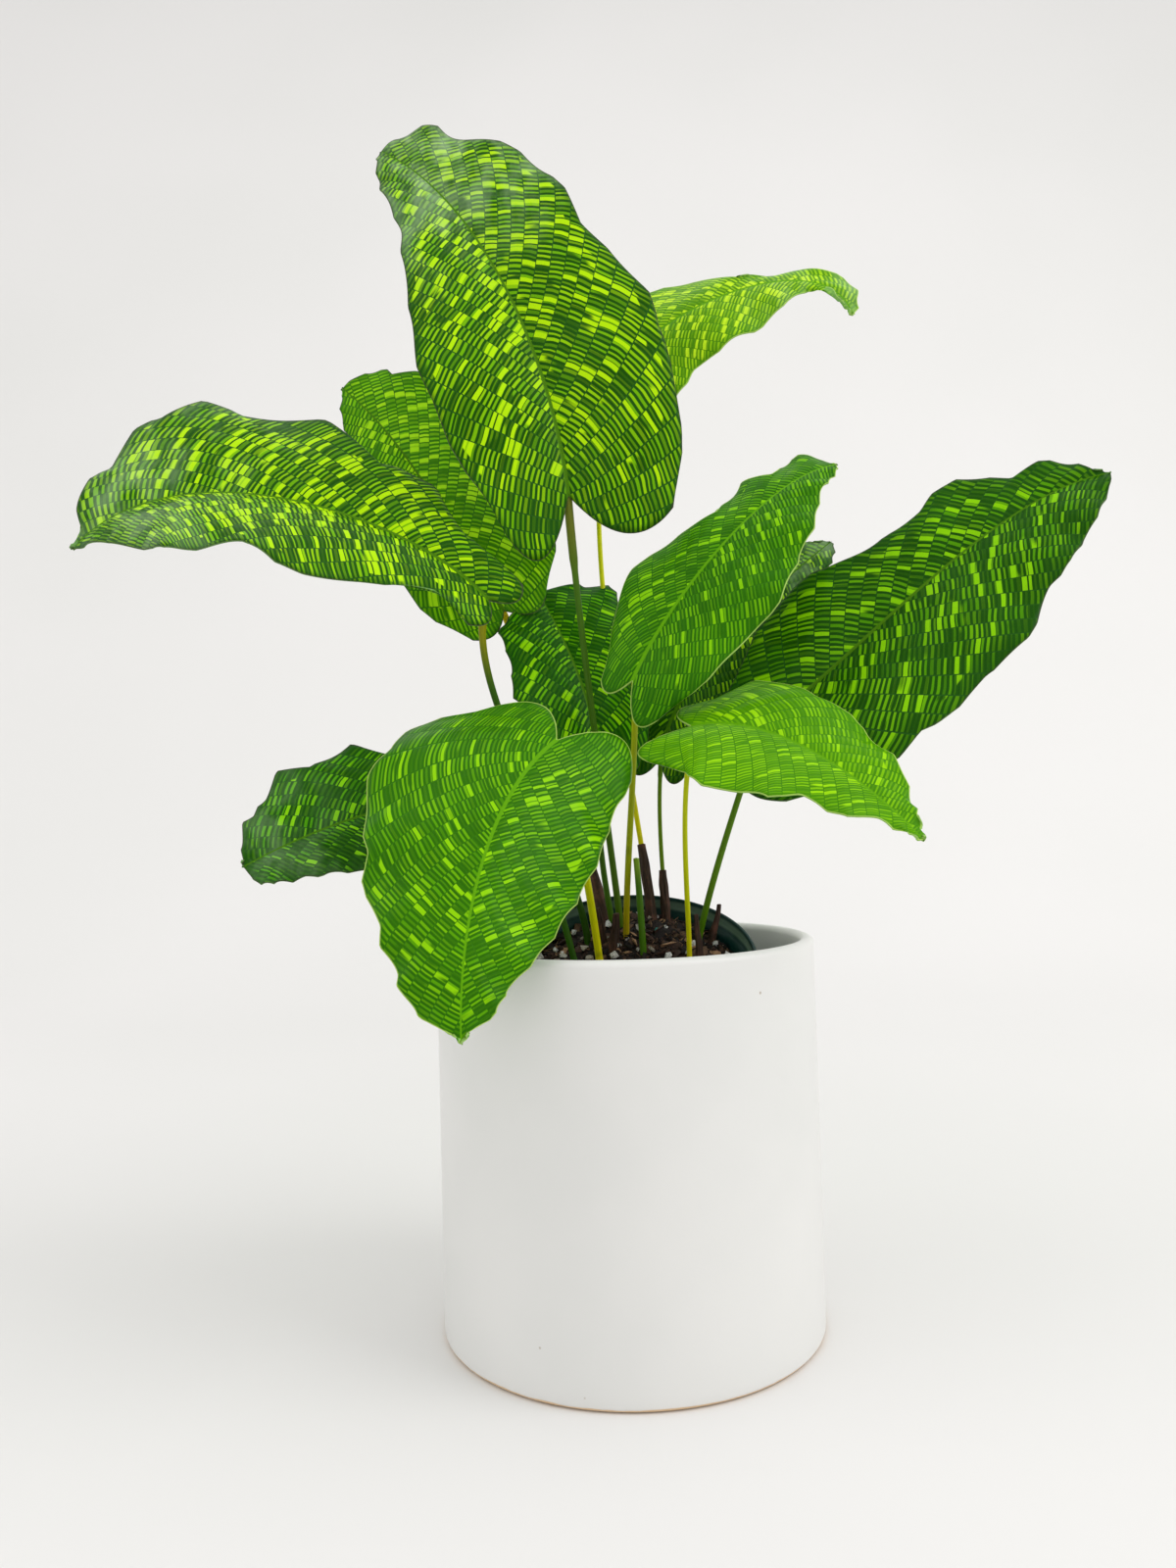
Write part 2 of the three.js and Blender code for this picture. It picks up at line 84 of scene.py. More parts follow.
# Meshes. A sheet is a grid whose vertices a function moves: place(u, v) gives a point in mm, and each
# entry of maps gives a pair of numbers that becomes a UV map. Vertices closer than merge mm are joined.
def sheet(name, columns, rows, place, maps=None, merge=0.02, closed=True):
    mesh = bmesh.new()
    bmesh.ops.create_grid(mesh, x_segments=columns, y_segments=rows, size=0.5)
    spots = {vertex: (vertex.co.x + 0.5, vertex.co.y + 0.5) for vertex in mesh.verts}
    for key, at in (maps or {}).items():
        layer = mesh.loops.layers.uv.new(key)
        values = {vertex: at(*spot) for vertex, spot in spots.items()}
        for face in mesh.faces:
            for loop in face.loops:
                loop[layer].uv = values[loop.vert]
    for vertex, spot in spots.items():
        vertex.co = Vector(place(*spot)) * mm
    bmesh.ops.remove_doubles(mesh, verts=mesh.verts, dist=merge * mm)
    slivers = [face for face in mesh.faces if face.calc_area() < 1e-12]
    bmesh.ops.delete(mesh, geom=slivers, context="FACES_ONLY")
    return finished(name, mesh, closed)


def finished(name, mesh, closed=True):
    if closed:
        bmesh.ops.recalc_face_normals(mesh, faces=mesh.faces)
    for face in mesh.faces:
        face.smooth = True
    data = bpy.data.meshes.new(name)
    mesh.to_mesh(data)
    mesh.free()
    made = bpy.data.objects.new(name, data)
    bpy.context.scene.collection.objects.link(made)
    return made


def handOver(made, slot, node, *looks):
    for look in looks:
        made.data.materials.append(look)
    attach(made, "root")
    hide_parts(node)


# Materials. A Graph adds nodes to a material or a node group with few words.
class Graph:
    def __init__(self, tree):
        self.tree = tree

    def node(self, kind, inputs=None, **settings):
        made = self.tree.nodes.new(kind)
        for key, value in settings.items():
            setattr(made, key, value)
        for key, value in (inputs or {}).items():
            self.feed(made.inputs[key], value)
        return made

    def feed(self, socket, value):
        if isinstance(value, bpy.types.NodeSocket):
            self.tree.links.new(value, socket)
        elif isinstance(value, tuple) and len(value) == 3 and socket.type == "RGBA":
            socket.default_value = (*value, 1)
        else:
            socket.default_value = value

    def math(self, operation, *values):
        inputs = dict(enumerate(values))
        return self.node("ShaderNodeMath", inputs, operation=operation).outputs[0]

    def times(self, first, second):
        return self.math("MULTIPLY", first, second)

    def plus(self, first, second):
        return self.math("ADD", first, second)

    def minus(self, first, second):
        return self.math("SUBTRACT", first, second)

    def fade(self, value, low, high, start=0.0, end=1.0):
        inputs = {"Value": value, "From Min": low, "From Max": high, "To Min": start, "To Max": end}
        made = self.node("ShaderNodeMapRange", inputs, interpolation_type="SMOOTHSTEP")
        return made.outputs["Result"]

    def mix(self, share, first, second):
        made = self.node("ShaderNodeMix", {"Factor": share}, data_type="RGBA")
        self.feed(made.inputs[6], first)  # the colour sockets A and B
        self.feed(made.inputs[7], second)
        return made.outputs[2]

    def noise(self, vector, scale, detail=2.0, roughness=0.5):
        inputs = {"Vector": vector, "Scale": scale, "Detail": detail, "Roughness": roughness}
        return self.node("ShaderNodeTexNoise", inputs).outputs["Fac"]

    def pair(self, key):
        made = self.node("ShaderNodeSeparateXYZ", {0: self.node("ShaderNodeUVMap", uv_map=key).outputs[0]})
        return made.outputs["X"], made.outputs["Y"]

    def split(self, colour):
        return self.node("ShaderNodeSeparateColor", {0: colour}).outputs

    def point(self):
        return self.node("ShaderNodeTexCoord").outputs["Object"]

    def scaled(self, vector, scale):
        return self.node("ShaderNodeVectorMath", {0: vector, 1: scale}, operation="MULTIPLY").outputs[0]

    def bump(self, height, strength, distance):
        inputs = {"Height": height, "Strength": strength, "Distance": distance}
        return self.node("ShaderNodeBump", inputs).outputs["Normal"]


def newGroup(name, inputs, outputs):
    tree = bpy.data.node_groups.new(name, "ShaderNodeTree")
    for key, kind in inputs.items():
        tree.interface.new_socket(name=key, in_out="INPUT", socket_type="NodeSocket" + kind)
    for key, kind in outputs.items():
        tree.interface.new_socket(name=key, in_out="OUTPUT", socket_type="NodeSocket" + kind)
    graph = Graph(tree)
    return graph, graph.node("NodeGroupInput").outputs, graph.node("NodeGroupOutput").inputs


def newMaterial(name, roughness, specular):
    material = bpy.data.materials.new(name)
    material.use_nodes = True
    shader = material.node_tree.nodes["Principled BSDF"].inputs
    shader["Roughness"].default_value = roughness
    shader["Specular IOR Level"].default_value = specular
    return material, Graph(material.node_tree), shader


# The surface's colour, and its fine relief: the height, its strength and its depth in mm.
def paint(graph, shader, colour, height, strength, depth):
    graph.feed(shader["Base Color"], colour)
    graph.feed(shader["Normal"], graph.bump(height, strength, depth * mm))


def useGroup(graph, group, values):
    made = graph.node("ShaderNodeGroup", node_tree=group.tree)
    for key, value in values.items():
        graph.feed(made.inputs[key], value)
    return made.outputs


# Profiles turned round an axis: points are (radius, height) in mm, v runs along them.
def spread(points, longest):
    dense = []
    for start, end in zip(points, points[1:]):
        steps = max(1, math.ceil(math.dist(start, end) / longest))
        dense += [tuple(mixed(a, b, i / steps) for a, b in zip(start, end)) for i in range(steps)]
    return [*dense, points[-1]]


def arc(centre, radii, first, last, steps):
    turns = [math.radians(mixed(first, last, i / steps)) for i in range(steps + 1)]
    return [(centre[0] + radii[0] * math.cos(t), centre[1] + radii[1] * math.sin(t)) for t in turns]


def turned(name, points, sides, wobble=None, turn=None):
    travelled = lengthsAlong(points)

    def place(u, v):
        radius, height = points[round(v * (len(points) - 1))]
        angle = 2 * math.pi * u
        if wobble and radius > 0:
            radius += wobble(angle, height)
        point = Vector((radius * math.cos(angle), radius * math.sin(angle), height))
        return turn @ point if turn else point

    def profile(u, v):
        return u, travelled[round(v * (len(points) - 1))] / travelled[-1]

    return sheet(name, sides + 1, len(points), place, {"profile": profile}, merge=0.01)


# The planter: a straight cylinder in a pale satin glaze, with a bare line of clay at its foot.
planter = {
    "radius": 76, "height": 152, "wall": 5.5, "floor": 8, "lip": 2.6, "toe": 2, "innerCorner": 4,
    "sides": 192, "rowHeight": 3, "ripple": 0.12, "rippleTurns": 1.6, "rippleHeight": 60,
}
glaze = {
    "light": (0.735, 0.73, 0.71), "dark": (0.7, 0.7, 0.68), "roughness": 0.42, "specular": 0.45,
    "coat": 0.12, "coatRoughness": 0.3, "pit": (0.36, 0.28, 0.2), "pitScale": 62.0, "pitFrom": 0.84,
    "clayLight": (0.74, 0.56, 0.36), "clayDark": (0.62, 0.42, 0.24), "clayRoughness": 0.85,
    "clayLine": (1.9, 2.4),  # heights in mm between which the glaze begins
}


def planterPoints():
    radius, height, wall, toe = (planter[key] for key in ("radius", "height", "wall", "toe"))
    lip, corner, floor = planter["lip"], planter["innerCorner"], planter["floor"]
    inner = radius - wall
    points = [(0, 0), (radius - toe, 0), *arc((radius - toe, toe), (toe, toe), -90, 0, 6)]
    points += arc((radius - wall / 2, height - lip), (wall / 2, lip), 0, 180, 14)
    points += arc((inner - corner, floor + corner), (corner, corner), 0, -90, 6)
    return spread([*points, (0, floor)], planter["rowHeight"])


def planterRipple(angle, height):
    turns = planter["rippleTurns"]
    spot = Vector((math.cos(angle) * turns, math.sin(angle) * turns, height / planter["rippleHeight"]))
    return planter["ripple"] * noise.noise(spot)


def glazeMaterial():
    material, graph, shader = newMaterial("glaze", glaze["roughness"], glaze["specular"])
    shader["Coat Weight"].default_value = glaze["coat"]
    shader["Coat Roughness"].default_value = glaze["coatRoughness"]
    point = graph.point()
    cloud = graph.fade(graph.noise(point, 14, 3), 0.3, 0.7)
    colour = graph.mix(cloud, glaze["dark"], glaze["light"])
    pits = graph.node("ShaderNodeTexVoronoi", {"Vector": point, "Scale": glaze["pitScale"]})
    lot = graph.split(pits.outputs["Color"])["Red"]
    chosen = graph.fade(lot, glaze["pitFrom"], glaze["pitFrom"] + 0.005)
    pit = graph.times(graph.fade(pits.outputs["Distance"], 0.022, 0.045, 1, 0), chosen)
    colour = graph.mix(graph.times(pit, 0.75), colour, glaze["pit"])
    height = graph.node("ShaderNodeSeparateXYZ", {0: point}).outputs["Z"]
    uneven = graph.math("MULTIPLY_ADD", graph.noise(point, 90, 2), 1.6 * mm, height)
    bare = graph.fade(uneven, glaze["clayLine"][0] * mm, glaze["clayLine"][1] * mm, 1, 0)
    clay = graph.mix(graph.noise(point, 700, 3), glaze["clayDark"], glaze["clayLight"])
    graph.feed(shader["Roughness"], graph.fade(bare, 0, 1, glaze["roughness"], glaze["clayRoughness"]))
    relief = graph.math("MULTIPLY_ADD", graph.noise(point, 38, 2), 0.6, graph.noise(point, 240, 2))
    relief = graph.minus(relief, graph.times(pit, 2.0))
    paint(graph, shader, graph.mix(bare, colour, clay), relief, 0.12, 0.35)
    return material


planterPiece = turned("planterPiece", planterPoints(), planter["sides"], planterRipple)
handOver(planterPiece, "glaze", "planter", glazeMaterial())
report("planter")

# The hidden riser that carries the grow pot.
riser = {"radius": 38, "chamfer": 2, "sides": 96, "rowHeight": 4}
foam = {"light": (0.79, 0.77, 0.71), "dark": (0.66, 0.63, 0.56), "cellScale": 260.0}


def riserPoints():
    low, high = (corner.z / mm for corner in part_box("riser"))
    radius, cut = riser["radius"], riser["chamfer"]
    corners = [(0, low), (radius - cut, low), (radius, low + cut), (radius, high - cut)]
    return spread([*corners, (radius - cut, high), (0, high)], riser["rowHeight"])


def foamMaterial():
    material, graph, shader = newMaterial("foam", 0.95, 0.2)
    cells = graph.node("ShaderNodeTexVoronoi", {"Vector": graph.point(), "Scale": foam["cellScale"]})
    cells = cells.outputs["Distance"]
    colour = graph.mix(graph.fade(cells, 0.1, 0.6), foam["light"], foam["dark"])
    paint(graph, shader, colour, cells, 0.35, 0.5)
    return material


riserPiece = turned("riserPiece", riserPoints(), riser["sides"])
handOver(riserPiece, "foam", "riser", foamMaterial())

# The nursery pot, tilted forward in the planter. Its profile is measured down from the rim's plane.
growPot = {
    "rimRadius": 50, "lipWall": 1.5, "lipHeight": 8, "step": 1.5, "baseRadius": 36.5, "height": 88,
    "wall": 1.5, "chamfer": 1.5, "tilt": 24.9, "rimCentre": (4, -0.2, 145.3), "sides": 120,
    "rowHeight": 3, "drainHoles": 6, "drainRadius": 3.5, "drainRing": 22.5, "drainSides": 24,
}
plastic = {
    "clean": (0.002, 0.03, 0.025), "dusty": (0.022, 0.065, 0.05), "worn": (0.22, 0.33, 0.24),
    "wornAt": 0.522,  # where the lip's edge lies along the profile
}
potTurn = Matrix.Translation(growPot["rimCentre"]) @ Matrix.Rotation(math.radians(growPot["tilt"]), 4, "X")
neck = growPot["rimRadius"] - growPot["lipWall"] - growPot["step"]
potSlope = (neck + growPot["wall"] - growPot["baseRadius"]) / growPot["height"]


def potWallInside(depth):
    return neck - potSlope * depth


def potPoints():
    rim, wall, deep, cut = (growPot[key] for key in ("rimRadius", "wall", "height", "chamfer"))
    lip, step, base = (growPot[key] for key in ("lipHeight", "step", "baseRadius"))
    outside = rim - step
    points = [(0, -deep), (base - cut, -deep), (base, -deep + cut)]
    points += [(outside - potSlope * (lip + 0.6), -lip - 0.6), (outside - 0.3, -lip), (rim - 0.3, -lip)]
    points += [(rim, -lip + 0.4), *arc((rim - 0.75, -0.7), (0.75, 0.7), 0, 180, 8)]
    points += [(rim - 1.5, -lip + 2.2), (neck - potSlope * (lip - 0.5), -lip + 0.5)]
    points += [(potWallInside(deep - wall - 1), -deep + wall + 1), (potWallInside(deep) - 1, -deep + wall)]
    return spread([*points, (0, -deep + wall)], growPot["rowHeight"])


def plasticMaterial():
    material, graph, shader = newMaterial("darkPlastic", 0.42, 0.2)
    point = graph.point()
    dust = graph.fade(graph.noise(point, 55, 5, 0.65), 0.56, 0.85)
    colour = graph.mix(dust, plastic["clean"], plastic["dusty"])
    fromEdge = graph.math("ABSOLUTE", graph.minus(graph.pair("profile")[1], plastic["wornAt"]))
    worn = graph.times(graph.fade(fromEdge, 0.012, 0.004), 0.6)
    streaks = graph.noise(graph.scaled(point, (1.0, 1.0, 0.12)), 420, 3)
    paint(graph, shader, graph.mix(worn, colour, plastic["worn"]), streaks, 0.12, 0.3)
    return material


def drilled(made):
    drill = bmesh.new()
    radius = growPot["drainRadius"]
    for i in range(growPot["drainHoles"]):
        place = Matrix.Rotation(2 * math.pi * i / growPot["drainHoles"], 4, "Z")
        place = place @ Matrix.Translation((growPot["drainRing"], 0, -growPot["height"]))
        size = {"radius1": radius, "radius2": radius, "depth": 4 * growPot["wall"]}
        bmesh.ops.create_cone(drill, cap_ends=True, segments=growPot["drainSides"],
                              matrix=Matrix.Scale(mm, 4) @ potTurn @ place, **size)
    cutter = finished("drill", drill)
    holes = made.modifiers.new("holes", "BOOLEAN")
    holes.solver, holes.object = "EXACT", cutter
    made.data = bpy.data.meshes.new_from_object(made.evaluated_get(bpy.context.evaluated_depsgraph_get()))
    made.modifiers.clear()
    made.data.materials.clear()
    bpy.data.objects.remove(cutter)
    return made


growPotPiece = drilled(turned("growPotPiece", potPoints(), growPot["sides"], turn=potTurn))
handOver(growPotPiece, "dark_plastic", "grow_pot", plasticMaterial())

# The potting mix, measured in the plane of the grow pot's rim. Its surface is a mound with small bumps.
soil = {
    "depth": 10.5, "mound": 7.5, "moundAt": (2, 26), "moundSpread": 15, "bump": 0.7, "rough": 0.8,
    "roughScale": 0.45, "gap": 0.6, "edgeDrop": 1.2, "sides": 180, "rows": 140,
    "top": 0.8, "side": 0.95,  # shares of the rows at which the surface and the side end
}


def mixHeight(x, y):
    away = math.hypot(x - soil["moundAt"][0], y - soil["moundAt"][1]) / soil["moundSpread"]
    bumps = math.sin(0.55 * x + 1.3 * math.sin(0.3 * y)) * math.cos(0.6 * y + 0.9 * math.sin(0.35 * x))
    return soil["mound"] * math.exp(-0.5 * away * away) - soil["depth"] + soil["bump"] * bumps


def soilPoint(x, y, lift=0.0):
    return potTurn @ Vector((x, y, mixHeight(x, y) + lift))


def soilSurface(u, v):
    angle = 2 * math.pi * u
    top, side, gap = soil["top"], soil["side"], soil["gap"]
    if v < top:
        radius = (potWallInside(soil["depth"]) - gap) * (v / top) ** 0.8
        x, y = radius * math.cos(angle), radius * math.sin(angle)
        rough = soil["rough"] * noise.fractal(Vector((x, y, 0)) * soil["roughScale"], 1.0, 2.0, 4)
        return soilPoint(x, y, rough - soil["edgeDrop"] * ease(0.9, 1, v / top))
    floor = growPot["height"] - growPot["wall"] - 0.4
    depth = mixed(soil["depth"], floor, min(1, (v - top) / (side - top)))
    radius = (potWallInside(depth) - gap) * (1 if v < side else clamp((1 - v) / (1 - side)))
    return potTurn @ Vector((radius * math.cos(angle), radius * math.sin(angle), -depth))


# tone, a UV map, picks each grain's colour between dark (0), middle (0.5) and light (1).
def grainMaterial(name, dark, middle, light, roughness=0.85):
    material, graph, shader = newMaterial(name, roughness, 0.3)
    tone = graph.pair("tone")[0]
    ramp = graph.mix(graph.fade(tone, 0, 0.5), dark, middle)
    ramp = graph.mix(graph.fade(tone, 0.55, 1), ramp, light)
    grain = graph.noise(graph.point(), 1600, 4, 0.6)
    colour = graph.mix(graph.fade(grain, 0.35, 0.7), graph.mix(0.6, ramp, (0, 0, 0)), ramp)
    paint(graph, shader, colour, grain, 0.5, 0.4)
    return material


def peatTone(u, v):
    return 0.12, 0


peat = grainMaterial("peat", (0.012, 0.008, 0.006), (0.04, 0.022, 0.014), (0.12, 0.06, 0.03))
soilPiece = sheet("soilPiece", soil["sides"] + 1, soil["rows"], soilSurface, {"tone": peatTone})
handOver(soilPiece, "potting_mix", "potting_mix", peat)

# Grains are small solids scattered over the mix with a seed. size is half a grain's length in mm,
# stretch its proportions, lean and uneven how far it tips and how rough it is, and rise how far its
# middle lies above the mix, as a share of its size.
bark = grainMaterial("bark", (0.012, 0.007, 0.006), (0.075, 0.036, 0.022), (0.42, 0.24, 0.13))
stone = grainMaterial("perlite", (0.26, 0.2, 0.14), (0.56, 0.5, 0.42), (0.84, 0.82, 0.8))
teal = grainMaterial("fleck", (0, 0.12, 0.1), (0.01, 0.24, 0.2), (0.02, 0.3, 0.25), 0.5)
grains = {
    "barkPiece": {
        "look": bark, "count": 900, "seed": 3, "size": (0.8, 3.6), "stretch": (1.5, 0.8, 0.35), "lean": 0.5,
        "uneven": 0.8, "rise": 0.15, "tones": (0.02, 0.05, 0.1, 0.3, 0.5, 0.7, 0.98),
    },
    "crumbPiece": {
        "look": bark, "count": 5200, "seed": 4, "size": (0.4, 1.6), "stretch": (1, 0.9, 0.7), "lean": 1.5,
        "uneven": 0.9, "rise": 0.2, "tones": (0.02, 0.1, 0.3, 0.5),
    },
    "perlitePiece": {
        "look": stone, "count": 190, "seed": 5, "size": (0.5, 2.5), "stretch": (1, 0.8, 0.65), "lean": 1.5,
        "uneven": 1.1, "rise": 0.8, "tones": (0.3, 0.8, 1.0),
    },
    "fibrePiece": {
        "look": bark, "count": 240, "seed": 6, "size": (3, 9), "stretch": (1, 0.05, 0.05), "lean": 0.25,
        "uneven": 0.3, "rise": 0.08, "tones": (0.1, 0.4, 0.8), "smooth": True,
    },
    "fleckPiece": {
        "look": teal, "count": 1, "seed": 8, "size": (1.2, 1.3), "stretch": (1.2, 0.9, 0.5), "lean": 0.5,
        "uneven": 0.6, "rise": 1.2, "tones": (0.5,), "spot": (10, 23.2),
    },
}
grainRoom = 2.5  # clear of the grow pot's wall, in mm


def scatter(name, grain):
    chance = random.Random(grain["seed"])
    ball = bmesh.new()
    bmesh.ops.create_icosphere(ball, subdivisions=1, radius=1)
    corners = [vertex.co.copy() for vertex in ball.verts]
    sides = [[vertex.index for vertex in face.verts] for face in ball.faces]
    ball.free()
    mesh = bmesh.new()
    tone = mesh.loops.layers.uv.new("tone")
    edge = potWallInside(soil["depth"]) - grainRoom
    upright = potTurn.to_3x3()
    for _ in range(grain["count"]):
        angle, radius = chance.uniform(0, 2 * math.pi), edge * math.sqrt(chance.random())
        size = mixed(*grain["size"], chance.random() ** 2)
        heading = Matrix.Rotation(chance.uniform(0, 6.28), 3, "Z")
        turn = upright @ heading @ Matrix.Rotation(chance.gauss(0, grain["lean"]), 3, "X")
        stretch = Vector([axis * chance.uniform(0.7, 1.3) for axis in grain["stretch"]]) * size
        offset = Vector((chance.uniform(0, 50), chance.uniform(0, 50), 0))
        x, y = grain.get("spot") or (radius * math.cos(angle), radius * math.sin(angle))
        centre = soilPoint(x, y, size * grain["rise"])
        made = []
        for corner in corners:
            uneven = 1 + grain["uneven"] * noise.noise(corner * 1.7 + offset)
            made.append(mesh.verts.new((turn @ (corner * uneven * stretch) + centre) * mm))
        shade = (chance.choice(grain["tones"]) + chance.uniform(-0.04, 0.04), chance.random())
        for side in sides:
            for loop in mesh.faces.new([made[i] for i in side]).loops:
                loop[tone].uv = shade
    made = finished(name, mesh)
    for face in made.data.polygons:
        face.use_smooth = grain.get("smooth", False)
    return made


for name, grain in grains.items():
    handOver(scatter(name, grain), "potting_mix", "potting_mix", grain["look"])
report("pots and mix")

